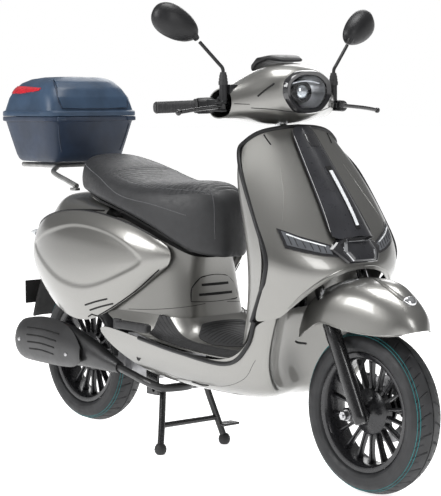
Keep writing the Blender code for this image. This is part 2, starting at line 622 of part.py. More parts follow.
def rack_and_case():
    tubes = []
    for sign in (1, -1):
        side = [(0.115, 0.142 * sign, 0.809), (0.060, 0.140 * sign, 0.824), (-0.030, 0.132 * sign, 0.848),
                (-0.050, 0.104 * sign, 0.866), (-0.110, 0.096 * sign, 0.868), (-0.260, 0.096 * sign, 0.868)]
        tubes.append(tube("rail", smooth_path(side, 2), 0.0085, 1))
        tubes.append(box("foot", (0.096, 0.142 * sign - 0.007, 0.7955),
                         (0.116, 0.142 * sign + 0.007, 0.812)))
    tubes.append(rod("cross_front", (-0.070, -0.100, 0.868), (-0.070, 0.100, 0.868), 0.0075, 12))
    tubes.append(rod("cross_rear", (-0.250, -0.096, 0.868), (-0.250, 0.096, 0.868), 0.0075, 12))
    fix(combine("rear_rack", tubes[0], tubes[1:]), "rear_rack", "scooter", "steel")

    def outline(x_mid, half_x, half_y, z, corner=0.45):
        """An eight-cornered ring about the case's centre."""
        half_x, half_y = half_x * 0.955, half_y * 0.955
        a, b = half_x * corner, half_y * corner
        return [(x_mid + px, py, z) for px, py in (
            (half_x, b), (a + half_x * 0.35, half_y), (-a - half_x * 0.35, half_y), (-half_x, b),
            (-half_x, -b), (-a - half_x * 0.35, -half_y), (a + half_x * 0.35, -half_y), (half_x, -b))]

    mid = -0.130
    base = loft("base", [outline(mid, 0.118, 0.138, 0.8800), outline(mid, 0.130, 0.150, 0.900),
                         outline(mid, 0.160, 0.182, 1.012), outline(mid, 0.168, 0.190, 1.016),
                         outline(mid, 0.168, 0.190, 1.0290)], levels=0)
    hollow = loft("hollow", [outline(mid, 0.118, 0.138, 0.890), outline(mid, 0.154, 0.176, 1.012),
                             outline(mid, 0.154, 0.176, 1.050)], levels=0)
    fix(cut(base, hollow), "case_base", "scooter", "case_blue")
    lid = loft("lid", [outline(mid, 0.168, 0.190, 1.0300), outline(mid, 0.168, 0.190, 1.046),
                       outline(mid, 0.150, 0.178, 1.090), outline(mid - 0.004, 0.122, 0.150, 1.135),
                       outline(mid - 0.006, 0.070, 0.090, 1.160)], levels=0)
    dome = loft("dome", [outline(mid, 0.160, 0.182, 1.020), outline(mid, 0.160, 0.182, 1.044),
                         outline(mid, 0.142, 0.170, 1.086), outline(mid - 0.004, 0.114, 0.142, 1.128),
                         outline(mid - 0.006, 0.062, 0.082, 1.153)], levels=0)
    fix(cut(lid, dome), "case_lid", "case_lid", "case_blue")
    barrel = rod("lock", CASE_LOCK, CASE_LOCK - Vector((0.0045, 0, 0)), 0.0065, 16)
    fix(barrel, "case_lock", "case_lock", "black_satin")


def pegs():
    arm = box("arm", (0.418, 0.2145, 0.388), (0.452, 0.2245, 0.420), 0.002)
    pad = box("pad", (0.445, 0.2135, 0.392), (0.600, 0.2385, 0.416), 0.005)
    peg = combine("peg", pad, [arm])
    fix(mirrored("peg_r", peg), "passenger_peg_right", "peg_right", "rubber")
    fix(peg, "passenger_peg_left", "peg_left", "rubber")


# ---- steering -----------------------------------------------------------------------------------
def steering_stem():
    """Stem, lower yoke and the two stanchions that the fork's lower legs slide on."""
    stem = rod("stem", on_steer(0.640), on_steer(1.030), 0.0170, 20)
    crown = box("crown", (-0.030, -0.108, -0.016), (0.062, 0.108, 0.016), 0.006)
    crown.data.transform(Matrix.Translation(on_steer(0.650)) @ Matrix.Rotation(-RAKE, 4, "Y"))
    legs = [rod("stanchion", on_leg(0.354, side), on_leg(0.668, side), STANCHION_R, 16) for side in (1, -1)]
    fix(combine("steering_stem", stem, [crown, *legs]), "steering_stem", "steering", "steel")


def fork_lowers():
    """Two lower legs joined by the wheel's axle."""
    legs = [rod("leg", on_leg(0.212, side), on_leg(0.478, side), LEG_R, 18) for side in (1, -1)]
    axle = rod("axle", (FRONT_AXLE.x, -0.122, FRONT_AXLE.z), (FRONT_AXLE.x, 0.122, FRONT_AXLE.z), AXLE_R,
               12)
    lugs = []
    for side in (1, -1):
        foot = on_leg(0.232, side)
        lugs.append(box("lug", (FRONT_AXLE.x - 0.018, side * LEG_Y - 0.011, FRONT_AXLE.z - 0.018),
                        (foot.x, side * LEG_Y + 0.011, FRONT_AXLE.z + 0.018), 0.003))
        lugs.append(rod("nut", FRONT_AXLE + SPIN * (side * 0.098), FRONT_AXLE + SPIN * (side * 0.116),
                        0.013, 6))
    caliper_arm = box("arm", (1.205, 0.0770, 0.268), (1.345, 0.0830, 0.312), 0.0)
    lowers = combine("fork_lowers", legs[0], [legs[1], axle, *lugs, caliper_arm])
    bores = [rod("bore", on_leg(0.285, side), on_leg(0.500, side), STANCHION_R + 0.0008,
                 16) for side in (1, -1)]
    fix(cut(lowers, *bores), "fork_lowers", "front_suspension", "black_satin")


def front_fender():
    fender = panel("fender", FENDER, side=1.0)
    holes = [rod("hole", on_leg(0.500, side), on_leg(0.640, side), 0.0262, 16) for side in (1, -1)]
    fix(cut(fender, *holes), "front_fender", "steering", "silver")


def bar_point(along, side):
    """A point on a handgrip's centre line, so far out from the switch housing's inner end."""
    start, end = (GRIP_START, GRIP_END) if side > 0 else (flip_y(GRIP_START), flip_y(GRIP_END))
    return start + (end - start).normalized() * along


def sleeve(name, side, start, end, radius, bore, sides=16):
    """A tube round the handlebar's straight end."""
    outer = rod(name, bar_point(start, side), bar_point(end, side), radius, sides)
    return cut(outer, rod("bore", bar_point(start - 0.01, side), bar_point(end + 0.01, side), bore, sides))


def controls():
    ends = [GRIP_END, GRIP_START, (0.892, 0.130, 1.067), (0.908, 0.060, 1.063), (0.914, 0, 1.060)]
    path = [Vector(p) for p in ends] + [flip_y(p) for p in reversed(ends[:-1])]
    bar = tube("bar", [path[0], *smooth_path(path[1:-1], 2), path[-1]], BAR_R, 2)
    clamp = rod("clamp", on_steer(1.0305), on_steer(1.064), 0.022, 12)
    fix(combine("handlebar", bar, [clamp]), "handlebar", "steering", "steel")
    fix(sleeve("grip", 1, 0.056, 0.1765, GRIP_R, BAR_R + 0.0006), "grip_left", "steering", "rubber")
    fix(sleeve("grip", -1, 0.056, 0.1765, GRIP_R, BAR_R + 0.0008), "throttle_grip", "throttle", "rubber")
    for side, word in ((1, "left"), (-1, "right")):
        housing = rod("housing", bar_point(0.004, side), bar_point(0.054, side), 0.0225, 16)
        base = MIRROR_BASE if side > 0 else flip_y(MIRROR_BASE)
        inner, outer = sorted((0.216 * side, 0.236 * side))
        perch_in, perch_out = sorted((0.199 * side, 0.2315 * side))
        perch = [box("ear_low", (0.925, inner, 1.0500), (0.957, outer, 1.0565)),
                 box("ear_high", (0.925, inner, 1.0715), (0.957, outer, 1.0780)),
                 box("perch", (0.875, perch_in, 1.050), (0.932, perch_out, 1.084), 0.003),
                 rod("post", (base.x, base.y, 1.0785), (base.x, base.y, base.z - GAP), 0.0110, 12),
                 box("arm", (0.915, base.y - 0.008, 1.0705), (0.940, base.y + 0.008, 1.092))]
        housing = combine("housing", housing, perch)
        housing = cut(housing, rod("bore", bar_point(-0.01, side), bar_point(0.07, side), BAR_R + 0.0006,
                                   16),
                      rod("pin_bore", (base.x, base.y, 1.096), (base.x, base.y, 1.160), 0.0063, 12))
        pocket = [button_box("pocket", side, 0.0005)]
        if side > 0:
            pocket.append(slider_box("pocket", 0.0006))
        fix(cut(housing, *pocket), f"switch_housing_{word}", "steering", "black_satin")
        fix(lever(side), f"brake_lever_{word}", f"lever_{word}", "black_satin")
    fix(button_box("horn", 1, 0.0), "horn_button", "horn_button", "black_satin")
    fix(button_box("starter", -1, 0.0), "starter_button", "starter_button", "red")
    fix(slider_box("slider", 0.0), "turn_switch", "turn_switch", "black_satin")


def housing_frame(side):
    """Local x out along the bar, local y up, local z towards the rider, at the housing's middle."""
    out = (bar_point(1, side) - bar_point(0, side)).normalized()
    back = Vector((-1.0, 0.0, 0.35))
    back = (back - out * back.dot(out)).normalized()
    up = back.cross(out)
    turn = Matrix((out, up, back)).transposed().to_4x4()
    return Matrix.Translation(bar_point(0.027, side)) @ turn


def local_box(name, frame, low, high, bevel=0.0):
    obj = box(name, low, high, bevel)
    obj.data.transform(frame)
    return obj


def button_box(name, side, grow):
    """A push button, or with grow its pocket in the housing."""
    g = grow
    drop = -0.006 if side > 0 else 0.0
    return local_box(name, housing_frame(side), (-0.006 - g, drop - 0.006 - g, 0.0165 - 6 * g),
                     (0.006 + g, drop + 0.006 + g, 0.0265 + (0.01 if g else 0)))


def slider_box(name, grow):
    """The turn signal switch, or with grow the slot that it slides in."""
    g = grow
    reach = 0.010 if g else 0.0
    return local_box(name, housing_frame(1), (-0.003 - g - reach * 0.5, 0.0035 - g, 0.0150 - 2 * g),
                     (0.003 + g + reach * 0.5, 0.0090 + g, 0.0265 + reach))


def lever(side):
    """A brake lever: a bent flat blade with a ball end, on a pivot ahead of the housing."""
    reach = [LEVER_PIVOT, (0.952, 0.250, 1.063), (0.953, 0.320, 1.057), (0.948, 0.376, 1.050)]
    blade = tube("blade", smooth_path(reach, 2), 0.0052, 2)
    boss = rod("boss", LEVER_PIVOT - Vector((0, 0, 0.007)), LEVER_PIVOT + Vector((0, 0, 0.007)), 0.0095, 12)
    tip = ball("tip", (0.947, 0.380, 1.049), 0.0085, 8)
    made = combine("lever", blade, [boss, tip])
    return made if side > 0 else replace_with_mirror(made)


def replace_with_mirror(obj):
    made = mirrored(obj.name + "_mirrored", obj)
    bpy.data.objects.remove(obj)
    return made


def headset():
    """The handlebar's shell with the lamp opening, the lamp lens and the instrument hood."""
    half = [  # y, then the loop of (x, z) round the bar
        (0.000, [(1.060, 1.172), (1.066, 1.105), (1.052, 1.040), (0.965, 1.004), (0.866, 1.012),
                 (0.828, 1.068), (0.860, 1.140), (0.955, 1.204)]),
        (0.070, [(1.052, 1.166), (1.060, 1.105), (1.046, 1.044), (0.962, 1.008), (0.866, 1.014),
                 (0.830, 1.068), (0.860, 1.136), (0.952, 1.196)]),
        (0.108, [(1.028, 1.150), (1.038, 1.102), (1.026, 1.050), (0.955, 1.018), (0.866, 1.022),
                 (0.834, 1.068), (0.862, 1.124), (0.944, 1.174)]),
        (0.150, [(0.978, 1.126), (0.992, 1.088), (0.978, 1.044), (0.930, 1.026), (0.864, 1.030),
                 (0.842, 1.068), (0.864, 1.112), (0.915, 1.140)]),
        (0.196, [(0.944, 1.112), (0.958, 1.076), (0.944, 1.038), (0.905, 1.028), (0.862, 1.032),
                 (0.842, 1.068), (0.862, 1.104), (0.905, 1.120)]),
    ]
    stations = [(-y, loop) for y, loop in reversed(half[1:])] + half
    rows = [[(x, y, z) for x, z in loop] for y, loop in stations]
    shell = panel("headset", rows, mirror=False, closed=True)
    neck = rod("neck_hole", on_steer(0.960), on_steer(1.070), 0.032, 16)
    lamp = loft("lamp_hole", [lamp_ring(0.985, 1.12), lamp_ring(1.120, 1.12)], levels=0)
    fix(cut(shell, neck, lamp), "headset_cover", "steering", "silver")
    lens = loft("lens", [lamp_ring(1.000, 1.02), lamp_ring(1.046, 1.08), lamp_ring(1.060, 0.90)], levels=0)
    fix(lens, "headlight_lens", "steering", "lens")
    hood = loft("hood", [
        [(0.985, y, z) for y, z in ((-0.040, 1.1905), (0.040, 1.1905), (0.036, 1.1960), (-0.036, 1.1960))],
        [(0.950, y, z) for y, z in ((-0.066, 1.1960), (0.066, 1.1960), (0.058, 1.2120), (-0.058, 1.2120))],
        [(0.905, y, z) for y, z in ((-0.066, 1.1820), (0.066, 1.1820), (0.058, 1.2080), (-0.058, 1.2080))],
        [(0.875, y, z) for y, z in ((-0.060, 1.1580), (0.060, 1.1580), (0.052, 1.1900), (-0.052, 1.1900))],
    ], levels=0)
    fix(hood, "instrument_cluster", "steering", "black_gloss")


def lamp_ring(x, scale):
    """The lamp's eight-sided outline, square to x."""
    outline = [(0.046, 0.046), (0.070, 0.020), (0.066, -0.018), (0.035, -0.044)]
    left = [(y * scale, z * scale) for y, z in outline]
    return [(x, y, 1.103 + z) for y, z in left] + [(x, -y, 1.103 + z) for y, z in reversed(left)]


def mirrors():
    boot = rod("boot", MIRROR_BASE, MIRROR_BASE + Vector((0, 0, 0.030)), 0.0130, 12, 0.0095)
    pin = rod("pin", (MIRROR_BASE.x, MIRROR_BASE.y, 1.098), MIRROR_BASE + Vector((0, 0, 0.004)), 0.0055, 12)
    path = [MIRROR_BASE + Vector((0, 0, 0.020)), (0.935, 0.213, 1.170), (0.932, 0.228, 1.187),
            MIRROR_TOP - Vector((-0.001, 0.006, 0.006))]
    stem = combine("stem", tube("rod", smooth_path(path, 3), 0.0052, 2), [boot, pin])
    fix(mirrored("stem_r", stem), "mirror_stem_right", "mirror_stem_right", "black_satin")
    fix(stem, "mirror_stem_left", "mirror_stem_left", "black_satin")
    out = Vector((-0.18, 0.86, 0.46)).normalized()
    up = Vector((0.97, 0.20, 0.0)).cross(out).normalized()
    face = out.cross(up)
    centre = MIRROR_TOP + out * 0.072 + Vector((0, 0, 0.012))
    rings = []
    for depth, size in ((-0.020, 0.93), (-0.014, 1.0), (0.0, 0.97), (0.016, 0.72), (0.026, 0.35)):
        ring = []
        for k in range(12):
            a = 2 * math.pi * k / 12
            wide = 0.047 + 0.008 * math.sin(a)  # broader at its outer end, like an egg
            ring.append(centre + face * depth + up * (wide * size * math.cos(a)) + out * (0.078 * size * math.sin(a)))
        rings.append(ring)
    neck_base = MIRROR_TOP + out * 0.0015
    neck = rod("neck", neck_base, neck_base + Vector((-0.004, 0.022, 0.026)), 0.0085, 12, 0.0150)
    head = combine("head", loft("shell", rings, levels=0), [neck])
    fix(mirrored("head_r", head), "mirror_head_right", "mirror_head_right", "mirror")
    fix(head, "mirror_head_left", "mirror_head_left", "mirror")


def ignition():
    barrel = rod("barrel", KEY_CENTRE + Vector((0.030, 0, 0)), KEY_CENTRE - Vector((0.012, 0, 0)), 0.0150,
                 16)
    bow = box("bow", KEY_CENTRE - Vector((0.046, 0.003, 0.013)),
              KEY_CENTRE + Vector((-0.010, 0.003, 0.013)), 0.001)
    key = combine("key", barrel, [bow])
    fix(key, "ignition_key", "ignition", "steel")


# ---- wheels -------------------------------------------------------------------------------------
def tyre_profile():
    """Half round tread, upright sidewalls and a bead that sits clear of the rim."""
    half, bead = TYRE_W / 2, RIM_R + 0.0015
    return [(bead, -0.038), (0.176, -half * 0.94), (0.192, -half), (0.209, -half * 0.88),
            (0.2225, -half * 0.55),
            (WHEEL_R, 0.0), (0.2225, half * 0.55), (0.209, half * 0.88), (0.192, half), (0.176,
                                                                                         half * 0.94),
            (bead, 0.038), (0.1555, 0.034), (0.1555, -0.034)]


def rim(name, centre, hub_half):
    """Barrel, hub and a spoked web, cut from turned shapes."""
    w = RIM_W / 2
    section = [(RIM_R, -w), (RIM_R, -w + 0.004), (0.1545, -0.0355), (0.1545, 0.0355), (RIM_R, w - 0.004),
               (RIM_R, w), (0.150, w), (0.140, 0.020), (0.140, -0.020), (0.150, -w)]
    barrel = turned("barrel", section, centre, SPIN, 32)
    plate = [(0, 0.013), (0.066, 0.013), (0.142, 0.006), (0.142, -0.006), (0.066, -0.013), (0, -0.013)]
    web = turned("web", plate, centre, SPIN, 32)
    windows = []
    for k in range(SPOKES):
        window = box("window", (0.076, -0.03, -0.0072), (0.1335, 0.03, 0.0072))
        window.data.transform(Matrix.Translation(centre) @ Matrix.Rotation(2 * math.pi * (k + 0.5) / SPOKES, 4, "Y"))
        windows.append(window)
    web = cut(web, *windows)
    hub = rod("hub", centre - SPIN * hub_half, centre + SPIN * hub_half, 0.030, 20)
    made = combine(name, web, [barrel, hub])
    bore = rod("bore", centre - SPIN * 0.2, centre + SPIN * 0.2, AXLE_R + 0.0012, 16)
    return cut(made, bore)


def wheels():
    for axle, word in ((FRONT_AXLE, "front"), (REAR_AXLE, "rear")):
        fix(turned("tyre", tyre_profile(), axle, SPIN, 32), f"{word}_tyre", f"{word}_wheel", "rubber")
    fix(rim("rim", FRONT_AXLE, 0.052), "front_rim", "front_wheel", "black_satin")
    fix(rim("rim", REAR_AXLE, 0.048), "rear_rim", "rear_wheel", "black_satin")
    disc = turned("disc", [(0.032, 0.0525), (0.094, 0.0525), (0.094, 0.0565), (0.032, 0.0565)], FRONT_AXLE,
                  SPIN, 32)
    fix(disc, "brake_disc", "front_wheel", "steel")
    body = box("caliper", (1.212, 0.0450, 0.262), (1.262, 0.0762, 0.318), 0.004)
    slot = rod("slot", FRONT_AXLE + SPIN * 0.0505, FRONT_AXLE + SPIN * 0.0585, 0.0965, 32)
    fix(cut(body, slot), "brake_caliper", "front_suspension", "black_satin")


# ---- engine, exhaust and rear suspension ----------------------------------------------------------
def engine():
    """Crankcase with the belt case beside the wheel, and the level cylinder ahead of it."""
    crank = loft("crank", [ring_x(x, [(0, z1), (w, z1), (w + 0.012, (z0 + z1) / 2), (w, z0), (0, z0)])
                           for x, w, z0, z1 in ((0.262, 0.060, 0.232, 0.330), (0.300, 0.078, 0.212, 0.352),
                                                (0.405, 0.078, 0.212, 0.352), (0.435, 0.060, 0.240,
                                                                               0.330))], levels=0)
    case_outline = [(0.410, 0.232, 0.060), (0.240, 0.228, 0.058), (0.090, 0.2375, 0.052),
                    (-0.010, REAR_AXLE.z, 0.050)]
    rings = []
    for x, z, half in case_outline:
        rings.append([(x, y, z + dz) for y, dz in ((0.0640, half * 0.8), (0.130, half), (0.150, half * 0.6),
                                                   (0.150, -half * 0.6), (0.130, -half), (0.0640,
                                                                                          -half * 0.8))])
    front_rings = [[(x, y, z + 0.03) for x, y, z in ring] for ring in rings[:2]]
    belt_case = loft("belt_case", front_rings + rings[2:], levels=0)
    nose = rod("nose", (-0.010, 0.0650, REAR_AXLE.z), (-0.010, 0.152, REAR_AXLE.z), 0.056, 20)
    hanger = rod("hanger", ENGINE_PIVOT - SPIN * 0.108, ENGINE_PIVOT + SPIN * 0.108, 0.016, 16)
    arm = box("arm", (0.400, -0.055, 0.300), (0.476, 0.055, 0.330))
    lug = box("lug", (-0.034, 0.100, 0.285), (-0.006, 0.1105, 0.362), 0.0)
    axle = rod("axle", (0, -0.118, REAR_AXLE.z), (0, 0.100, REAR_AXLE.z), AXLE_R, 12)
    right_arm = [box("right_arm", (-0.024, -0.106, REAR_AXLE.z - 0.022),
                     (0.300, -0.094, REAR_AXLE.z + 0.022)),
                 box("right_link", (0.282, -0.106, 0.235), (0.320, -0.050, 0.290))]
    unit = combine("engine_case", crank, [belt_case, nose, hanger, arm, lug, axle, *right_arm])
    bore = rod("bore", (ENGINE_PIVOT.x, -0.2, ENGINE_PIVOT.z), (ENGINE_PIVOT.x, 0.2, ENGINE_PIVOT.z),
               0.0068, 12)
    fix(cut(unit, bore), "engine_case", "engine", "cast")
    head = box("head", (0.4365, -0.050, 0.226), (0.545, 0.050, 0.2880), 0.006)
    fix(head, "cylinder_head", "engine", "cast")


def exhaust():
    """Header pipe, tapered silencer and the heat shield over its outer side."""
    def section(x, y, z, half_y, half_z):
        angles = [2 * math.pi * k / 12 for k in range(12)]
        return [(x, y + half_y * math.cos(a), z + half_z * math.sin(a)) for a in angles]

    body = loft("silencer", [
        section(-0.168, -0.158, 0.292, 0.026, 0.040), section(-0.150, -0.158, 0.294, 0.036, 0.058),
        section(-0.020, -0.158, 0.302, 0.040, 0.070), section(0.110, -0.157, 0.296, 0.038, 0.062),
        section(0.240, -0.155, 0.276, 0.030, 0.042), section(0.350, -0.150, 0.252, 0.017, 0.018)], levels=0)
    header = [(0.340, -0.150, 0.253), (0.420, -0.152, 0.238), (0.490, -0.150, 0.223),
              (0.530, -0.125, 0.208),
              (0.545, -0.080, 0.205), (0.543, -0.030, 0.205), (0.520, -0.004, 0.207)]
    pipe = tube("pipe", [*smooth_path(header, 2), (0.515, 0.0, 0.2130), (0.515, 0.0, 0.2255)], 0.0120, 2)
    ear = box("ear", (0.060, -0.142, 0.246), (0.090, -0.1065, 0.268))
    fix(combine("muffler", body, [pipe, ear]), "muffler", "engine", "exhaust")

    def arc(x, z, half_y, half_z, spread):
        angles = [spread * k for k in (-1.0, -0.6, -0.2, 0.2, 0.6, 1.0)]
        return [(x, -0.158 - half_y * math.cos(a), z + half_z * math.sin(a)) for a in angles]

    rows = [arc(-0.176, 0.292, 0.042, 0.060, 1.25), arc(-0.140, 0.295, 0.049, 0.073, 1.25),
            arc(-0.020, 0.302, 0.052, 0.082, 1.25), arc(0.090, 0.2965, 0.0500, 0.0760, 1.20),
            arc(0.150, 0.290, 0.048, 0.071, 0.95), arc(0.205, 0.281, 0.0455, 0.064, 0.45)]
    fix(panel("shield", rows, mirror=False, side=1.0), "heat_shield", "engine", "exhaust")


def kick_lever():
    hub = rod("hub", KICK_PIVOT - SPIN * 0.0045, KICK_PIVOT + SPIN * 0.014, 0.0125, 14)
    path = [KICK_PIVOT + Vector((0, 0.006, 0)), (0.240, 0.164, 0.272), (0.160, 0.172, 0.286),
            (0.120, 0.176, 0.292)]
    arm = tube("arm", smooth_path(path, 2), 0.0065, 2)
    pedal = rod("pedal", (0.122, 0.168, 0.292), (0.122, 0.225, 0.292), 0.0095, 12)
    fix(combine("kick_lever", hub, [arm, pedal]), "kick_lever", "kick_lever", "steel")


def rear_shock():
    along = (SHOCK_FOOT - SHOCK_TOP).normalized()
    upper = [rod("body", SHOCK_TOP + along * 0.018, SHOCK_TOP + along * 0.120, 0.0150, 16),
             rod("seat", SHOCK_TOP + along * 0.018, SHOCK_TOP + along * 0.026, 0.0240, 16),
             rod("eye", SHOCK_TOP - SPIN * 0.011, SHOCK_TOP + SPIN * 0.011, 0.0135, 14)]
    top = combine("shock_upper", upper[0], upper[1:] + [rod("neck", SHOCK_TOP, SHOCK_TOP + along * 0.030,
                                                            0.008, 10)])
    top = cut(top, rod("bore", SHOCK_TOP + along * 0.030, SHOCK_TOP + along * 0.150, 0.0080, 12))
    fix(top, "shock_upper", "shock_upper", "black_satin")
    lower = [rod("rod", SHOCK_TOP + along * 0.090, SHOCK_FOOT - along * 0.010, 0.0065, 12),
             rod("seat", SHOCK_FOOT - along * 0.034, SHOCK_FOOT - along * 0.026, 0.0240, 16),
             rod("eye", SHOCK_FOOT - SPIN * 0.004, SHOCK_FOOT + SPIN * 0.013, 0.0120, 14)]
    fix(combine("shock_lower", lower[0], lower[1:]), "shock_lower", "shock_lower", "steel")
    turns, radius, steps = 7, 0.0205, 8
    side = along.cross(SPIN).normalized()
    other = along.cross(side)
    start, end = 0.0315, (SHOCK_FOOT - SHOCK_TOP).length - 0.0395
    coil = []
    for k in range(turns * steps + 1):
        a = 2 * math.pi * k / steps
        along_here = start + (end - start) * k / (turns * steps)
        coil.append(SHOCK_TOP + along * along_here + side * (radius * math.cos(a)) + other * (radius * math.sin(a)))
    fix(tube("spring", coil, 0.0035, 1), "shock_spring", "shock_lower", "steel")


def center_stand():
    """A pivot tube, two splayed legs with rubber feet, a cross bar and the foot tang."""
    pivot = rod("pivot", (STAND_PIVOT.x, -0.112, STAND_PIVOT.z), (STAND_PIVOT.x, 0.112, STAND_PIVOT.z),
                0.0125, 16)
    pieces = []
    for sign in (1, -1):
        leg = [(STAND_PIVOT.x, 0.085 * sign, STAND_PIVOT.z), (0.492, 0.092 * sign, 0.160),
               (0.525, 0.127 * sign, 0.020)]
        pieces.append(tube("leg", leg, 0.0105, 2))
        pieces.append(ball("foot", (0.525, 0.127 * sign, 0.0170), 0.0190, 12))
    pieces.append(rod("bar", (0.509, -0.110, 0.086), (0.509, 0.110, 0.086), 0.0085, 12))
    pieces.append(box("tang", (0.500, 0.110, 0.060), (0.545, 0.175, 0.068), 0.002))
    stand = combine("center_stand", pivot, pieces)
    flat = box("floor", (0.4, -0.3, -0.1), (0.7, 0.3, 0.0))
    bore = rod("bore", (STAND_PIVOT.x, -0.2, STAND_PIVOT.z), (STAND_PIVOT.x, 0.2, STAND_PIVOT.z), 0.0068,
               12)
    fix(cut(stand, flat, bore), "center_stand", "stand", "black_satin")


def brake_hose():
    """The front brake hose, from inside the apron to the clip on the fender's leg cover."""
    path = [(1.086, -0.074, 0.404), (1.118, -0.094, 0.406), (1.160, -0.104, 0.409)]
    fix(tube("hose", smooth_path(path, 3), 0.0032, 2), "front_brake_hose", "steering", "rubber")


clear_scene()
PARTS = bpy.data.collections.new("moped_scooter")
bpy.context.scene.collection.children.link(PARTS)
make_bodies()
main_frame()
body_panels()
tail_pieces()
under_seat()
seat()
rack_and_case()
pegs()
steering_stem()
fork_lowers()
front_fender()
controls()
headset()
mirrors()
ignition()
wheels()
engine()
exhaust()
kick_lever()
rear_shock()
center_stand()
brake_hose()
BODIES["scooter"][0].location.x = -X_MID
bpy.context.view_layer.update()
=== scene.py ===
import math

import bmesh
import bpy
from mathutils import Matrix, Vector
from mathutils.bvhtree import BVHTree


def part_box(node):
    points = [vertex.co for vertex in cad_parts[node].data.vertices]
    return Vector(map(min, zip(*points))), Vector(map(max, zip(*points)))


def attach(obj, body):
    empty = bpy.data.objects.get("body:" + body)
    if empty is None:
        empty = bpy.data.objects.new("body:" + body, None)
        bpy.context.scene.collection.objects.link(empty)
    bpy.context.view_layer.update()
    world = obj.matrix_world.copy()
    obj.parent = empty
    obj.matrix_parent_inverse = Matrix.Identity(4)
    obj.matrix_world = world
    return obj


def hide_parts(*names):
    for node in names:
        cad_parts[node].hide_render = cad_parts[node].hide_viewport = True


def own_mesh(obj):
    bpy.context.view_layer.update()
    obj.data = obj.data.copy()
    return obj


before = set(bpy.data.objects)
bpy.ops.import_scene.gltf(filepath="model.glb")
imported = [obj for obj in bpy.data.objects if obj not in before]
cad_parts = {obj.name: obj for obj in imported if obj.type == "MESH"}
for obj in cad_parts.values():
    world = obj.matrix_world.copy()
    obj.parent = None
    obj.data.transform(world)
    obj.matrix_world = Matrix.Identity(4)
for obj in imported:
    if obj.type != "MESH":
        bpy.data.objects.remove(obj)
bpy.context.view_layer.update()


def centre_of(name):
    """The middle of a CAD piece's box."""
    low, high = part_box(name)
    return (Vector(low) + Vector(high)) / 2


SHIFT = Vector((centre_of("rear_rim").x, 0.0, 0.0))  # bike coordinates to the frame's
REAR_AXLE = centre_of("rear_rim") - SHIFT
FRONT_AXLE = centre_of("front_rim") - SHIFT
WHEEL_R = (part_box("front_tyre")[1][2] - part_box("front_tyre")[0][2]) / 2
RAKE = math.radians(26.0)
STEER_FOOT = Vector((FRONT_AXLE.x + 0.002, 0.0, WHEEL_R))
STEER_AXIS = Vector((-math.sin(RAKE), 0.0, math.cos(RAKE)))
AHEAD = Vector((math.cos(RAKE), 0.0, math.sin(RAKE)))
SPIN = Vector((0.0, 1.0, 0.0))
UP = Vector((0.0, 0.0, 1.0))
FORWARD = Vector((1.0, 0.0, 0.0))
INWARD = Vector((-1.0, 0.0, 0.0))  # onto the front of the machine
DOWN = Vector((0.0, 0.0, -1.0))
TO_RIGHT = Vector((0.0, -1.0, 0.0))  # onto its left side
LEG_AHEAD = 0.035
LEG_Y = 0.088
SHELL = 0.003
TRIM_R = 0.0062
AXLE_R = 0.0065
SIDES = ((1, "left"), (-1, "right"))


# ---- materials ----------------------------------------------------------------------------------
def shader(name, colour, roughness, metallic=0.0, coat=0.0, coat_roughness=0.04, specular=0.5):
    """A Principled material and its node tree, with the given plain values set on the shader."""
    mat = bpy.data.materials.new(name)
    mat.use_nodes = True
    bsdf = principled(mat)
    bsdf.inputs["Base Color"].default_value = (*colour, 1.0)
    bsdf.inputs["Roughness"].default_value = roughness
    bsdf.inputs["Metallic"].default_value = metallic
    bsdf.inputs["Coat Weight"].default_value = coat
    bsdf.inputs["Coat Roughness"].default_value = coat_roughness
    bsdf.inputs["Specular IOR Level"].default_value = specular
    return mat


def principled(mat):
    return mat.node_tree.nodes["Principled BSDF"]


def node(mat, kind, **inputs):
    made = mat.node_tree.nodes.new(kind)
    for name, value in inputs.items():
        made.inputs[name.replace("_", " ")].default_value = value
    return made


def wire(mat, out, into):
    mat.node_tree.links.new(out, into)


def noise_at(mat, scale, detail=2.0, stretch=(1.0, 1.0, 1.0)):
    """Noise in object coordinates. Its pattern is scale times finer than a metre."""
    where = node(mat, "ShaderNodeTexCoord")
    mapping = node(mat, "ShaderNodeMapping")
    mapping.inputs["Scale"].default_value = stretch
    wire(mat, where.outputs["Object"], mapping.inputs["Vector"])
    noise = node(mat, "ShaderNodeTexNoise", Scale=scale, Detail=detail)
    wire(mat, mapping.outputs["Vector"], noise.inputs["Vector"])
    return noise.outputs["Fac"]


def vary_colour(mat, colour, low, high, scale, detail=3.0):
    """The base colour drifts between low and high times itself."""
    ramp = node(mat, "ShaderNodeValToRGB")
    ramp.color_ramp.elements[0].position = 0.35
    ramp.color_ramp.elements[1].position = 0.65
    ramp.color_ramp.elements[0].color = (*(c * low for c in colour), 1.0)
    ramp.color_ramp.elements[1].color = (*(c * high for c in colour), 1.0)
    wire(mat, noise_at(mat, scale, detail), ramp.inputs["Fac"])
    wire(mat, ramp.outputs["Color"], principled(mat).inputs["Base Color"])


def vary_roughness(mat, low, high, scale):
    """Noise moves the roughness between low and high."""
    spread = node(mat, "ShaderNodeMapRange")
    spread.inputs["From Min"].default_value = 0.3
    spread.inputs["From Max"].default_value = 0.7
    spread.inputs["To Min"].default_value = low
    spread.inputs["To Max"].default_value = high
    wire(mat, noise_at(mat, scale), spread.inputs["Value"])
    wire(mat, spread.outputs["Result"], principled(mat).inputs["Roughness"])


def bump(mat, height, strength, distance):
    """A bump from a height output, in front of the shader."""
    made = node(mat, "ShaderNodeBump", Strength=strength, Distance=distance)
    wire(mat, height, made.inputs["Height"])
    wire(mat, made.outputs["Normal"], principled(mat).inputs["Normal"])


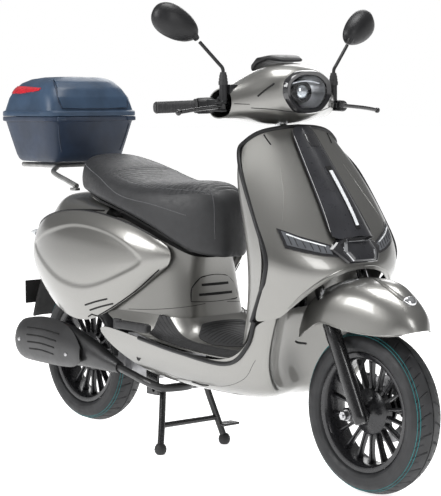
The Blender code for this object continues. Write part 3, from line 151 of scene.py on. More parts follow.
def body_paint():
    """Metallic silver: fine flakes under a clear lacquer."""
    colour = (0.235, 0.232, 0.22)
    mat = shader("silver_paint", colour, 0.33, 0.85, coat=0.75, coat_roughness=0.03)
    vary_colour(mat, colour, 0.9, 1.1, 2600.0, 1.0)
    vary_roughness(mat, 0.29, 0.37, 1800.0)
    bump(mat, noise_at(mat, 2200.0, 1.0), 0.04, 0.0002)
    return mat


def moulded(name, colour, roughness, grain=900.0, depth=0.25, coat=0.0):
    """Injection-moulded plastic with a fine spark-eroded grain."""
    mat = shader(name, colour, roughness, coat=coat, specular=0.3)
    vary_colour(mat, colour, 0.85, 1.15, 14.0)
    vary_roughness(mat, roughness * 0.88, roughness * 1.12, 60.0)
    bump(mat, noise_at(mat, grain, 3.0), depth, 0.0003)
    return mat


def gloss_black():
    colour = (0.012, 0.012, 0.014)
    mat = shader("gloss_black", colour, 0.1, coat=0.8, coat_roughness=0.02)
    vary_roughness(mat, 0.07, 0.14, 25.0)
    bump(mat, noise_at(mat, 180.0, 2.0), 0.015, 0.0002)
    return mat


def painted_metal(name, colour, roughness, metallic=0.3):
    """Metal under a hard coat of paint."""
    mat = shader(name, colour, roughness, metallic, coat=0.35, coat_roughness=0.12)
    vary_colour(mat, colour, 0.8, 1.2, 30.0)
    vary_roughness(mat, roughness * 0.8, roughness * 1.2, 120.0)
    bump(mat, noise_at(mat, 500.0, 2.0), 0.08, 0.0002)
    return mat


def bare_metal(name, colour, roughness, stretch=(1.0, 1.0, 1.0), scale=300.0):
    """Plated or brushed metal. stretch draws its marks out."""
    mat = shader(name, colour, roughness, 1.0)
    vary_colour(mat, colour, 0.85, 1.1, 18.0)
    bump(mat, noise_at(mat, scale, 3.0, stretch), 0.12, 0.0002)
    return mat


def cast_alloy():
    colour = (0.3, 0.3, 0.31)
    mat = shader("cast_alloy", colour, 0.5, 0.85)
    vary_colour(mat, colour, 0.75, 1.15, 45.0)
    vary_roughness(mat, 0.42, 0.6, 90.0)
    bump(mat, noise_at(mat, 420.0, 4.0), 0.45, 0.0006)
    return mat


def seat_vinyl(name, colour):
    """Leather-look vinyl: small cells with soft valleys between them."""
    mat = shader(name, colour, 0.48, specular=0.42)
    vary_colour(mat, colour, 0.88, 1.15, 24.0)
    vary_roughness(mat, 0.42, 0.56, 80.0)
    where = node(mat, "ShaderNodeTexCoord")
    cells = node(mat, "ShaderNodeTexVoronoi", Scale=620.0)
    cells.feature = "F1"
    wire(mat, where.outputs["Object"], cells.inputs["Vector"])
    bump(mat, cells.outputs["Distance"], 0.35, 0.0005)
    return mat


def tyre_rubber():
    colour = (0.017, 0.0175, 0.019)
    mat = shader("tyre_rubber", colour, 0.55, specular=0.45)
    vary_colour(mat, colour, 0.75, 1.35, 35.0)
    vary_roughness(mat, 0.46, 0.66, 70.0)
    bump(mat, noise_at(mat, 700.0, 3.0), 0.2, 0.0004)
    return mat


def ribbed_rubber(name="ribbed_rubber"):
    colour = (0.016, 0.016, 0.017)
    mat = shader(name, colour, 0.62)
    vary_colour(mat, colour, 0.8, 1.3, 50.0)
    bump(mat, noise_at(mat, 900.0, 2.0), 0.3, 0.0003)
    return mat


def lamp_glass():
    mat = shader("lamp_glass", (0.93, 0.95, 0.97), 0.02, coat=0.3)
    bsdf = principled(mat)
    bsdf.inputs["Transmission Weight"].default_value = 1.0
    bsdf.inputs["IOR"].default_value = 1.12
    bump(mat, noise_at(mat, 60.0, 1.0), 0.02, 0.0004)
    return mat


def red_lens():
    """Prismatic red plastic."""
    colour = (0.42, 0.008, 0.018)
    mat = shader("red_lens", colour, 0.12, coat=0.8)
    vary_colour(mat, colour, 0.8, 1.25, 120.0)
    where = node(mat, "ShaderNodeTexCoord")
    prisms = node(mat, "ShaderNodeTexVoronoi", Scale=260.0)
    wire(mat, where.outputs["Object"], prisms.inputs["Vector"])
    bump(mat, prisms.outputs["Distance"], 0.4, 0.001)
    return mat


def light_guide():
    """The white light guides of the lamps, not lit."""
    colour = (0.78, 0.8, 0.82)
    mat = shader("light_guide", colour, 0.22, coat=0.5)
    vary_colour(mat, colour, 0.9, 1.05, 90.0)
    return mat


def lamp_reflector():
    colour = (0.62, 0.64, 0.66)
    mat = shader("lamp_reflector", colour, 0.16, 0.9)
    vary_colour(mat, colour, 0.75, 1.1, 55.0)
    return mat


PAINT = body_paint()
GLOSS = gloss_black()
TIE_GREY = moulded("tie_grey", (0.02, 0.0205, 0.024), 0.3, grain=1200.0, depth=0.08, coat=0.5)
# Satin black plastic. It is also the colour of the painted shadow line along the cowl's top edge.
SATIN_AND_SHADOW = moulded("satin_black", (0.011, 0.011, 0.012), 0.42)
MATT = moulded("matt_black", (0.014, 0.014, 0.014), 0.6, depth=0.4)
RUBBER = ribbed_rubber()
MAT_RUBBER = ribbed_rubber("mat_rubber")
TYRE = tyre_rubber()
TEAL = moulded("teal_line", (0.02, 0.16, 0.17), 0.55)
ALLOY_BLACK = painted_metal("alloy_black", (0.014, 0.014, 0.016), 0.3)
STEEL_BLACK = painted_metal("steel_black", (0.012, 0.012, 0.013), 0.26)
EXHAUST = painted_metal("exhaust_black", (0.028, 0.028, 0.029), 0.42, 0.4)
SHIELD_GREY = moulded("shield_grey", (0.034, 0.034, 0.035), 0.36)
CHROME = bare_metal("chrome", (0.75, 0.76, 0.78), 0.1)
STEEL = bare_metal("brushed_steel", (0.45, 0.45, 0.46), 0.28, (1.0, 1.0, 8.0))
CAST = cast_alloy()
RACK_GREY = painted_metal("rack_grey", (0.22, 0.22, 0.215), 0.36, 0.7)
VINYL = seat_vinyl("seat_vinyl", (0.02, 0.0205, 0.022))
THREAD = moulded("thread", (0.075, 0.076, 0.08), 0.7, grain=2400.0)
CASE_LID = moulded("case_lid_blue", (0.03, 0.052, 0.088), 0.36, grain=700.0, depth=0.2)
CASE_BASE = moulded("case_base_blue", (0.016, 0.026, 0.048), 0.42, grain=700.0, depth=0.25)
CASE_RIM = moulded("case_rim_blue", (0.02, 0.032, 0.055), 0.34, grain=700.0, depth=0.2)
GLASS = lamp_glass()
RED = red_lens()
GUIDE = light_guide()
SMOKE = moulded("smoked_lens", (0.1, 0.105, 0.115), 0.1, grain=300.0, depth=0.05, coat=0.6)
REFLECTOR = lamp_reflector()
MIRROR_GLASS = bare_metal("mirror_glass", (0.85, 0.87, 0.88), 0.02, scale=40.0)
# Black for seams, slots and gaps. It is also the colour of the painted shadow line along the cowl's lower
# edge.
SEAM_AND_SHADOW = moulded("seam_and_shadow_black", (0.006, 0.006, 0.006), 0.7)
RED_BUTTON = moulded("red_button", (0.35, 0.02, 0.02), 0.35)


# ---- shape helpers: meshes are made in bike coordinates -------------------------------------------
SHARP = 38.0  # faces that meet at more degrees than this get a sharp edge


def in_scene(name, data):
    """A new object for this data, linked to the scene."""
    obj = bpy.data.objects.new(name, data)
    bpy.context.scene.collection.objects.link(obj)
    return obj


def object_of(work, name):
    """A new object with the bmesh's faces. The bmesh is used up."""
    mesh = bpy.data.meshes.new(name)
    work.to_mesh(mesh)
    work.free()
    return in_scene(name, mesh)


def mesh_object(name, verts, faces):
    mesh = bpy.data.meshes.new(name)
    mesh.from_pydata([tuple(v) for v in verts], [], faces)
    return in_scene(name, mesh)


def tidy(obj, sharp=SHARP):
    """Outward normals, smooth shading and sharp edges where faces meet at an angle."""
    work = bmesh.new()
    work.from_mesh(obj.data)
    bmesh.ops.remove_doubles(work, verts=work.verts, dist=2e-6)
    bmesh.ops.recalc_face_normals(work, faces=work.faces)
    work.to_mesh(obj.data)
    work.free()
    obj.data.shade_smooth()
    obj.data.set_sharp_from_angle(angle=math.radians(sharp))
    return obj


def applied(obj):
    """obj with its modifiers made part of its mesh."""
    bpy.context.view_layer.update()
    evaluated = obj.evaluated_get(bpy.context.evaluated_depsgraph_get())
    mesh = bpy.data.meshes.new_from_object(evaluated)
    obj.modifiers.clear()
    obj.data = mesh
    return obj


def rounded(value, power=0.75):
    """A sine or cosine pushed outwards, which squares up the circle it draws."""
    return math.copysign(abs(value) ** power, value)


def smoothstep(a, b, x):
    """0 at a, 1 at b, with an easy start and end."""
    t = min(1.0, max(0.0, (x - a) / (b - a)))
    return t * t * (3 - 2 * t)


def around(count):
    """Evenly spaced angles for one full turn."""
    return [2 * math.pi * i / count for i in range(count)]


def grid_object(name, rows, closed=False, caps=False):
    """Quads between rows of points. closed joins each row's last point to its first."""
    width = len(rows[0])
    verts = [p for row in rows for p in row]
    faces = []
    for i in range(len(rows) - 1):
        for j in range(width if closed else width - 1):
            k = (j + 1) % width
            faces.append((i * width + j, i * width + k, (i + 1) * width + k, (i + 1) * width + j))
    if caps:
        faces.append(tuple(range(width)))
        faces.append(tuple(range((len(rows) - 1) * width, len(rows) * width)))
    return mesh_object(name, verts, faces)


def surface(name, rows, mirror=True, levels=3, thickness=SHELL, side=1.0, closed=False):
    """A smooth thin shell on a cage of rows, mirrored across y = 0."""
    obj = grid_object(name, rows, closed)
    if mirror:
        half = obj.modifiers.new("Mirror", "MIRROR")
        half.use_axis = (False, True, False)
        half.merge_threshold = 1e-4
    smooth = obj.modifiers.new("Subdivision", "SUBSURF")
    smooth.levels = smooth.render_levels = levels
    applied(obj)
    if thickness:
        thicken(obj, thickness, side)
    return tidy(obj)


def thicken(obj, thickness, side=1.0):
    """Gives a sheet its thickness."""
    tidy_normals(obj)
    shell = obj.modifiers.new("Solidify", "SOLIDIFY")
    shell.thickness = thickness
    shell.offset = -side
    return applied(obj)


def tidy_normals(obj):
    work = bmesh.new()
    work.from_mesh(obj.data)
    bmesh.ops.recalc_face_normals(work, faces=work.faces)
    work.to_mesh(obj.data)
    work.free()


def loft(name, rings, levels=0, caps=True):
    """A closed form through rings of points."""
    obj = grid_object(name, rings, closed=True, caps=caps)
    tidy_normals(obj)
    if levels:
        smooth = obj.modifiers.new("Subdivision", "SUBSURF")
        smooth.levels = smooth.render_levels = levels
        applied(obj)
    return tidy(obj)


def smooth_path(points, per_span=6):
    """Points read along a Catmull-Rom curve through the given ones."""
    pts = [Vector(p) for p in points]
    pts = [2 * pts[0] - pts[1], *pts, 2 * pts[-1] - pts[-2]]
    path = []
    for a, b, c, d in zip(pts, pts[1:], pts[2:], pts[3:]):
        for k in range(per_span):
            t = k / per_span
            path.append(0.5 * (2 * b + (c - a) * t + (2 * a - 5 * b + 4 * c - d) * t**2
                               + (3 * b - a - 3 * c + d) * t**3))
    return [*path, pts[-2]]


def tube(name, points, radius, sides=14, closed=False, flat=1.0):
    """A round bar along points. radius is a number or a function of the share of the length."""
    points = [Vector(p) for p in points]
    count = len(points)
    rings = []
    normal = None
    for i, point in enumerate(points):
        before = points[i - 1] if i or closed else point
        after = points[(i + 1) % count] if i < count - 1 or closed else point
        along = (after - before).normalized()
        if normal is None:
            normal = along.orthogonal().normalized()
        normal = (normal - along * normal.dot(along)).normalized()
        across = along.cross(normal)
        r = radius(i / (count - 1)) if callable(radius) else radius
        rings.append([point + normal * (r * math.cos(a)) + across * (r * flat * math.sin(a))
                      for a in around(sides)])
    if closed:
        rings.append(rings[0])
    return tidy(grid_object(name, rings, closed=True, caps=not closed))


def turned(name, profile, centre, axis, steps=72, close=True):
    """A profile of (radius, height) points turned about axis."""
    turn = Vector(axis).to_track_quat("Z", "Y").to_matrix()
    rings = []
    for k in range(steps):
        a = 2 * math.pi * k / steps
        rings.append([Vector(centre) + turn @ Vector((r * math.cos(a), r * math.sin(a), h))
                      for r, h in profile])
    rings.append(rings[0])
    if close and profile[0][0] > 1e-6:
        rings = [[*ring, ring[0]] for ring in rings]
    return tidy(grid_object(name, rings))


def rod(name, start, end, radius, sides=24, radius_end=None, edge=0.0008):
    """A cylinder or cone with softened rims."""
    start, end = Vector(start), Vector(end)
    length = (end - start).length
    last = radius if radius_end is None else radius_end
    edge = min(edge, length / 3, radius / 3, last / 3)
    profile = [(0, 0), (radius - edge, 0), (radius, edge), (last, length - edge), (last - edge, length),
               (0, length)]
    return turned(name, profile, start, end - start, sides, close=False)


def rounded_box(name, low, high, radius=0.003, segments=3, turn=None):
    """A box between two corners with rounded edges."""
    work = bmesh.new()
    bmesh.ops.create_cube(work, size=1.0)
    low, high = Vector(low), Vector(high)
    for v in work.verts:
        v.co = Vector([low[i] + (high[i] - low[i]) * (v.co[i] + 0.5) for i in range(3)])
    bmesh.ops.bevel(work, geom=work.edges[:], offset=radius, segments=segments, profile=0.5, affect="EDGES")
    obj = object_of(work, name)
    if turn is not None:
        obj.data.transform(turn)
    return tidy(obj)


def joined(name, parts):
    """Several objects' meshes in one object."""
    work = bmesh.new()
    for part in parts:
        work.from_mesh(part.data)
        bpy.data.objects.remove(part)
    obj = object_of(work, name)
    obj.data.shade_smooth()
    obj.data.set_sharp_from_angle(angle=math.radians(SHARP))
    return obj


def carved(obj, *cutters, solver="EXACT"):
    """obj with the cutters taken out of it. The cutters are used up."""
    for cutter in cutters:
        boolean = obj.modifiers.new("Boolean", "BOOLEAN")
        boolean.operation = "DIFFERENCE"
        boolean.solver = solver
        boolean.object = cutter
    applied(obj)
    for cutter in cutters:
        bpy.data.objects.remove(cutter)
    return obj


def mirrored(name, obj):
    """A copy of obj on the other side of the machine."""
    mesh = obj.data.copy()
    mesh.transform(Matrix.Scale(-1.0, 4, (0.0, 1.0, 0.0)))
    mesh.flip_normals()
    return in_scene(name, mesh)


def flip_y(point):
    return Vector((point[0], -point[1], point[2]))


def bvh_of(*objects):
    """A tree over the objects' meshes, to lay details on."""
    verts, polygons = [], []
    for obj in objects:
        base = len(verts)
        verts += [v.co.copy() for v in obj.data.vertices]
        polygons += [[base + i for i in p.vertices] for p in obj.data.polygons]
    return BVHTree.FromPolygons(verts, polygons)


def laid(tree, point, direction, lift):
    """The point cast along direction onto the surface, then lifted off it."""
    direction = Vector(direction).normalized()
    start = Vector(point) - direction * 0.25
    hit, normal, _, _ = tree.ray_cast(start, direction)
    if hit is None:
        hit, normal, _, _ = tree.find_nearest(Vector(point))
    if normal.dot(direction) > 0:
        normal = -normal
    return hit + normal * lift


def patch(name, tree, edges, direction, lift=0.0006, thickness=0.0015, steps=(16, 10)):
    """A plate that follows a surface. edges are polylines, laid side by side along direction."""
    across, along = steps
    lines = [resampled(edge, across) for edge in edges]
    rows = []
    for line_a, line_b in zip(lines, lines[1:]):
        for k in range(along):
            t = k / along
            rows.append([laid(tree, a.lerp(b, t), direction, lift) for a, b in zip(line_a, line_b)])
    rows.append([laid(tree, p, direction, lift) for p in lines[-1]])
    obj = grid_object(name, rows)
    tidy_normals(obj)
    facing = sum((p.normal for p in obj.data.polygons), Vector())
    if facing.dot(Vector(direction)) > 0:
        obj.data.flip_normals()
    shell = obj.modifiers.new("Solidify", "SOLIDIFY")
    shell.thickness = thickness
    shell.offset = 1.0
    return tidy(applied(obj), 50.0)


def resampled(points, count):
    """count + 1 points evenly spaced along a polyline."""
    pts = [Vector(p) for p in points]
    lengths = [0.0]
    for a, b in zip(pts, pts[1:]):
        lengths.append(lengths[-1] + (b - a).length)
    out = []
    for k in range(count + 1):
        want = lengths[-1] * k / count
        i = next((n for n in range(len(pts) - 1) if lengths[n + 1] >= want - 1e-9), len(pts) - 2)
        span = lengths[i + 1] - lengths[i]
        out.append(pts[i].lerp(pts[i + 1], (want - lengths[i]) / span if span else 0.0))
    return out


def line_on(name, tree, points, direction, radius, lift=0.0, sides=8, per_span=6):
    """A thin tube laid on a surface along a smooth line."""
    path = [laid(tree, p, direction, lift) for p in smooth_path(points, per_span)]
    return tube(name, path, radius, sides)


def piece(obj, body, slot, material, *nodes):
    """Gives a finished piece its material and hangs it on its body, in place of these CAD nodes. slot is not
    used.
    """
    obj.location = SHIFT
    if material is not None:
        obj.data.materials.clear()
        obj.data.materials.append(material)
    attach(obj, body)
    if nodes:
        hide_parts(*nodes)
    return obj


def both_sides(obj, body, slot, material, *nodes):
    """The piece and its mirror image. A body name with {} gets the side's name."""
    twin = mirrored(obj.name + "_right", obj)
    obj.name = obj.name + "_left"
    left = [n.format("left") for n in nodes]
    right = [n.format("right") for n in nodes]
    piece(obj, body.format("left"), slot, material, *left)
    piece(twin, body.format("right"), slot, material, *right)
    return obj, twin


def nearest(tree, point):
    """The point of a surface that is closest."""
    return tree.find_nearest(Vector(point))[0]


def line_pair(name, tree, points, direction, radius, body, slot, material, lift=0.0):
    """A line on the left side and its mirror image on the right."""
    for side, word in SIDES:
        turn = Vector((direction[0], direction[1] * side, direction[2]))
        here = [(x, y * side, z) for x, y, z in points]
        piece(line_on(f"{name}_{word}", tree, here, turn, radius, lift), body, slot, material)


def patch_pair(name, tree, edges, direction, body, slot, material, **how):
    """A plate on the left side and its mirror image on the right."""
    for side, word in SIDES:
        turn = Vector((direction[0], direction[1] * side, direction[2]))
        here = [[(x, y * side, z) for x, y, z in edge] for edge in edges]
        piece(patch(f"{name}_{word}", tree, here, turn, **how), body, slot, material)


def rim_line(rows, column=-1, side=1.0):
    """One column of a cage, as a line."""
    return [Vector((row[column][0], row[column][1] * side, row[column][2])) for row in rows]


def loop_points(outline, per_side):
    """A closed outline with each side cut into equal steps."""
    points = []
    for a, b in zip(outline, outline[1:] + outline[:1]):
        for k in range(per_side):
            t = k / per_side
            points.append((a[0] + (b[0] - a[0]) * t, a[1] + (b[1] - a[1]) * t))
    return points


def on_leg(height, side):
    """The point of a fork leg's axis at this height."""
    foot = STEER_FOOT + AHEAD * LEG_AHEAD + SPIN * (LEG_Y * side)
    return foot + STEER_AXIS * ((height - foot.z) / STEER_AXIS.z)


# ---- cages of the body panels: some edges reach under a neighbour, so that no gap shows ---------------
APRON = [
    [(1.018, 0, 1.006), (1.012, 0.07, 1.002), (0.998, 0.13, 0.99), (0.986, 0.17, 0.966),
     (0.985, 0.192, 0.94)],
    [(1.095, 0, 0.902), (1.087, 0.08, 0.899), (1.066, 0.15, 0.893), (1.046, 0.198, 0.884),
     (1.036, 0.224, 0.872)],
    [(1.19, 0, 0.778), (1.18, 0.09, 0.774), (1.158, 0.165, 0.768), (1.13, 0.217, 0.761),
     (1.112, 0.242, 0.752)],
    [(1.252, 0, 0.688), (1.24, 0.09, 0.682), (1.214, 0.17, 0.674), (1.184, 0.226, 0.668),
     (1.162, 0.249, 0.66)],
    [(1.29, 0, 0.632), (1.277, 0.085, 0.622), (1.24, 0.17, 0.612), (1.192, 0.226, 0.606),
     (1.155, 0.246, 0.6)],
    [(1.262, 0.13, 0.596), (1.24, 0.16, 0.58), (1.205, 0.19, 0.566), (1.16, 0.217, 0.556),
     (1.118, 0.231, 0.55)],
    [(1.158, 0.187, 0.492), (1.148, 0.194, 0.486), (1.125, 0.203, 0.48), (1.098, 0.212, 0.474),
     (1.068, 0.218, 0.47)],
]
TIE = [
    [(1.046, 0, 1.008), (1.038, 0.024, 1.006), (1.02, 0.04, 1.003)],
    [(1.133, 0, 0.905), (1.124, 0.03, 0.902), (1.099, 0.053, 0.896)],
    [(1.237, 0, 0.776), (1.226, 0.038, 0.773), (1.19, 0.068, 0.772)],
    [(1.272, 0, 0.712), (1.262, 0.044, 0.704), (1.238, 0.08, 0.698)],
]
INNER_SHIELD = [
    [(0.893, 0, 0.99), (0.9, 0.07, 0.985), (0.925, 0.13, 0.972), (0.955, 0.172, 0.95), (0.978, 0.19, 0.93)],
    [(0.915, 0, 0.88), (0.918, 0.1, 0.88), (0.935, 0.165, 0.878), (0.975, 0.208, 0.874),
     (1.025, 0.221, 0.866)],
    [(0.958, 0, 0.76), (0.96, 0.11, 0.76), (0.98, 0.18, 0.758), (1.03, 0.228, 0.755), (1.098, 0.24, 0.75)],
    [(0.98, 0, 0.655), (0.982, 0.11, 0.655), (1.0, 0.18, 0.655), (1.06, 0.234, 0.655),
     (1.146, 0.246, 0.655)],
    [(0.985, 0, 0.56), (0.986, 0.11, 0.56), (1.0, 0.17, 0.56), (1.04, 0.216, 0.555), (1.105, 0.229, 0.55)],
    [(0.972, 0, 0.47), (0.972, 0.11, 0.47), (0.982, 0.162, 0.468), (1.01, 0.2, 0.466),
     (1.056, 0.214, 0.468)],
    [(0.96, 0, 0.425), (0.958, 0.11, 0.405), (0.965, 0.16, 0.398), (0.985, 0.19, 0.396),
     (1.018, 0.203, 0.4)],
]
FLOOR = [
    [(0.99, 0, 0.385), (0.985, 0.06, 0.38), (0.985, 0.1, 0.365), (0.99, 0.15, 0.36), (1.0, 0.194, 0.36)],
    [(0.93, 0, 0.385), (0.93, 0.06, 0.38), (0.93, 0.1, 0.352), (0.93, 0.15, 0.342), (0.94, 0.196, 0.345)],
    [(0.8, 0, 0.388), (0.796, 0.064, 0.384), (0.785, 0.104, 0.357), (0.765, 0.15, 0.349),
     (0.74, 0.197, 0.351)],
    [(0.71, 0, 0.396), (0.705, 0.076, 0.392), (0.69, 0.12, 0.372), (0.65, 0.158, 0.362),
     (0.58, 0.198, 0.364)],
    [(0.672, 0, 0.412), (0.67, 0.082, 0.41), (0.658, 0.128, 0.4), (0.59, 0.166, 0.392),
     (0.45, 0.198, 0.388)],
    [(0.655, 0, 0.43), (0.653, 0.084, 0.43), (0.642, 0.128, 0.43), (0.545, 0.172, 0.438),
     (0.29, 0.198, 0.444)],
]
WELL_WALL = [
    [(1.046, 0, 0.3), (1.046, 0, 0.34), (1.046, 0, 0.38), (1.047, 0, 0.42), (1.048, 0, 0.46),
     (1.05, 0, 0.5)],
    [(1.046, 0, 0.285), (1.048, 0.06, 0.29), (1.052, 0.1, 0.33), (1.053, 0.105, 0.38),
     (1.056, 0.105, 0.43), (1.062, 0.105, 0.49)],
    [(1.042, 0, 0.275), (1.05, 0.07, 0.266), (1.076, 0.138, 0.29), (1.082, 0.16, 0.33),
     (1.092, 0.164, 0.4), (1.11, 0.162, 0.48)],
]
FAIRING = [
    [(1.038, 0, 0.268), (1.052, 0.08, 0.252), (1.098, 0.152, 0.262), (1.1, 0.19, 0.32),
     (1.112, 0.193, 0.395), (1.146, 0.188, 0.488)],
    [(1.002, 0, 0.236), (1.012, 0.085, 0.233), (1.052, 0.162, 0.25), (1.062, 0.196, 0.32),
     (1.078, 0.207, 0.395), (1.072, 0.216, 0.47)],
    [(0.93, 0, 0.222), (0.93, 0.09, 0.222), (0.96, 0.165, 0.244), (0.99, 0.198, 0.295),
     (1.02, 0.209, 0.345), (1.035, 0.212, 0.395)],
    [(0.85, 0, 0.22), (0.85, 0.09, 0.22), (0.86, 0.16, 0.24), (0.87, 0.194, 0.28), (0.895, 0.207, 0.31),
     (0.94, 0.211, 0.336)],
    [(0.72, 0, 0.221), (0.72, 0.09, 0.221), (0.715, 0.155, 0.24), (0.705, 0.19, 0.28), (0.7, 0.206, 0.318),
     (0.72, 0.21, 0.346)],
    [(0.62, 0, 0.224), (0.62, 0.09, 0.224), (0.6, 0.15, 0.244), (0.565, 0.186, 0.286), (0.54, 0.204, 0.33),
     (0.53, 0.21, 0.368)],
    [(0.565, 0, 0.228), (0.56, 0.09, 0.228), (0.52, 0.152, 0.252), (0.42, 0.19, 0.302),
     (0.34, 0.205, 0.352), (0.305, 0.21, 0.398)],
]
TOWER = [
    [(0.652, 0, 0.424), (0.65, 0.07, 0.424), (0.64, 0.112, 0.425), (0.585, 0.148, 0.427),
     (0.5, 0.172, 0.43), (0.41, 0.187, 0.433), (0.27, 0.19, 0.436)],
    [(0.64, 0, 0.5), (0.638, 0.066, 0.5), (0.626, 0.106, 0.5), (0.575, 0.142, 0.504), (0.5, 0.166, 0.51),
     (0.42, 0.181, 0.516), (0.31, 0.185, 0.522)],
    [(0.632, 0, 0.556), (0.63, 0.06, 0.557), (0.617, 0.098, 0.562), (0.568, 0.134, 0.582),
     (0.5, 0.16, 0.604), (0.425, 0.175, 0.624), (0.32, 0.182, 0.635)],
    [(0.634, 0, 0.606), (0.632, 0.056, 0.61), (0.616, 0.092, 0.62), (0.564, 0.126, 0.652),
     (0.5, 0.15, 0.682), (0.43, 0.164, 0.712), (0.33, 0.166, 0.738)],
]
TAIL = [
    [(0.318, 0.15, 0.744), (0.316, 0.168, 0.74), (0.312, 0.182, 0.7), (0.305, 0.188, 0.62)],
    [(0.205, 0.13, 0.762), (0.2, 0.16, 0.757), (0.2, 0.178, 0.722), (0.2, 0.19, 0.64)],
    [(0.12, 0.095, 0.776), (0.08, 0.14, 0.773), (0.06, 0.164, 0.728), (0.05, 0.178, 0.645)],
    [(0.092, 0.062, 0.78), (0.005, 0.106, 0.78), (-0.03, 0.132, 0.724), (-0.08, 0.138, 0.64)],
    [(0.084, 0.03, 0.782), (-0.048, 0.06, 0.782), (-0.092, 0.082, 0.72), (-0.15, 0.085, 0.63)],
    [(0.083, 0.0, 0.783), (-0.066, 0.0, 0.784), (-0.118, 0.0, 0.72), (-0.18, 0.0, 0.625)],
]
COWL = [
    [(0.57, 0.138, 0.65), (0.592, 0.138, 0.634), (0.602, 0.139, 0.613), (0.59, 0.141, 0.59),
     (0.564, 0.145, 0.57)],
    [(0.498, 0.17, 0.693), (0.52, 0.184, 0.663), (0.531, 0.192, 0.61), (0.514, 0.19, 0.548),
     (0.482, 0.18, 0.503)],
    [(0.385, 0.188, 0.724), (0.4, 0.216, 0.685), (0.41, 0.232, 0.61), (0.402, 0.226, 0.52),
     (0.39, 0.199, 0.447)],
    [(0.245, 0.195, 0.742), (0.255, 0.226, 0.7), (0.26, 0.245, 0.61), (0.262, 0.237, 0.49),
     (0.272, 0.205, 0.392)],
    [(0.1, 0.194, 0.732), (0.11, 0.224, 0.69), (0.11, 0.243, 0.6), (0.12, 0.234, 0.48),
     (0.155, 0.205, 0.398)],
    [(-0.015, 0.178, 0.704), (-0.018, 0.201, 0.67), (-0.018, 0.215, 0.59), (0.004, 0.206, 0.5),
     (0.044, 0.188, 0.438)],
    [(-0.09, 0.148, 0.672), (-0.098, 0.162, 0.645), (-0.103, 0.17, 0.582), (-0.088, 0.166, 0.522),
     (-0.052, 0.154, 0.475)],
    [(-0.14, 0.118, 0.64), (-0.15, 0.123, 0.618), (-0.155, 0.127, 0.58), (-0.142, 0.124, 0.545),
     (-0.106, 0.122, 0.512)],
]
FENDER = [
    [(1.512, 0, 0.47), (1.508, 0.022, 0.469), (1.498, 0.04, 0.466), (1.482, 0.053, 0.46)],
    [(1.5, 0, 0.515), (1.494, 0.036, 0.51), (1.476, 0.064, 0.494), (1.454, 0.082, 0.456)],
    [(1.442, 0, 0.564), (1.436, 0.046, 0.558), (1.414, 0.088, 0.528), (1.394, 0.104, 0.458)],
    [(1.385, 0, 0.59), (1.38, 0.05, 0.585), (1.362, 0.104, 0.554), (1.342, 0.116, 0.462)],
    [(1.318, 0, 0.601), (1.314, 0.054, 0.596), (1.302, 0.112, 0.562), (1.286, 0.124, 0.473)],
    [(1.25, 0, 0.595), (1.25, 0.055, 0.59), (1.245, 0.116, 0.556), (1.236, 0.126, 0.478)],
    [(1.172, 0, 0.568), (1.172, 0.052, 0.563), (1.172, 0.104, 0.53), (1.176, 0.116, 0.452)],
    [(1.112, 0, 0.52), (1.114, 0.046, 0.515), (1.12, 0.086, 0.49), (1.132, 0.096, 0.432)],
    [(1.082, 0, 0.468), (1.085, 0.04, 0.462), (1.092, 0.07, 0.446), (1.106, 0.08, 0.415)],
]
MUDGUARD = [
    [(0.08, 0, 0.58), (0.08, 0.06, 0.575), (0.08, 0.075, 0.54)],
    [(-0.04, 0, 0.59), (-0.04, 0.058, 0.585), (-0.04, 0.074, 0.545)],
    [(-0.14, 0, 0.57), (-0.14, 0.058, 0.565), (-0.14, 0.074, 0.53)],
    [(-0.21, 0, 0.52), (-0.208, 0.056, 0.517), (-0.2, 0.07, 0.49)],
    [(-0.25, 0, 0.44), (-0.248, 0.055, 0.438), (-0.238, 0.066, 0.425)],
    [(-0.283, 0, 0.35), (-0.28, 0.055, 0.348), (-0.27, 0.064, 0.345)],
]


# ---- wheels -------------------------------------------------------------------------------------
TREAD = [(0.1655, -0.038), (0.17, -0.0465), (0.178, -0.0525), (0.19, -0.0548), (0.2, -0.054),
         (0.2085, -0.049), (0.215, -0.0415), (0.2205, -0.0315), (0.2252, -0.019), (0.2282, -0.008),
         (0.2293, -0.0025), (0.2293, 0.0)]
SIPES = 26
SPOKES = 18
AROUND = 780


def tyre_section():
    """The tyre's half section from bead to crown, closely spaced, then its mirror image."""
    half = []
    for a, b in zip(TREAD, TREAD[1:]):
        for k in range(4):
            half.append((a[0] + (b[0] - a[0]) * k / 4, a[1] + (b[1] - a[1]) * k / 4))
    half.append(TREAD[-1])
    return half + [(r, -y) for r, y in reversed(half[:-1])]


SIPE_BAND = (0.0055, 0.044)  # the sipes run between these distances from the middle
SIPE_CURVE = 0.45
SIPE_HALF = 0.045  # half a sipe's share of the pitch
SIPE_DEPTH = 0.0026
SHORT_SIPE_SHIFT = 0.42
SHORT_SIPE_HALF = 0.035
SHORT_SIPE_FROM = 0.024
SHORT_SIPE_DEPTH = 0.002
GROOVE_HALF = 0.0016
GROOVE_DEPTH = 0.0022


def sipe_depth(turn, y):
    """How deep the tread is cut at this share of a turn and this distance from the middle."""
    reach = abs(y)
    if reach < GROOVE_HALF:
        return GROOVE_DEPTH
    if not SIPE_BAND[0] < reach < SIPE_BAND[1]:
        return 0.0
    phase = turn * SIPES + (0.5 if y > 0 else 0.0) + SIPE_CURVE * ((reach - 0.005) / 0.04) ** 1.6
    if abs((phase % 1.0) - 0.5) < SIPE_HALF:
        return SIPE_DEPTH
    short = abs(((phase + SHORT_SIPE_SHIFT) % 1.0) - 0.5)
    return SHORT_SIPE_DEPTH if short < SHORT_SIPE_HALF and reach > SHORT_SIPE_FROM else 0.0


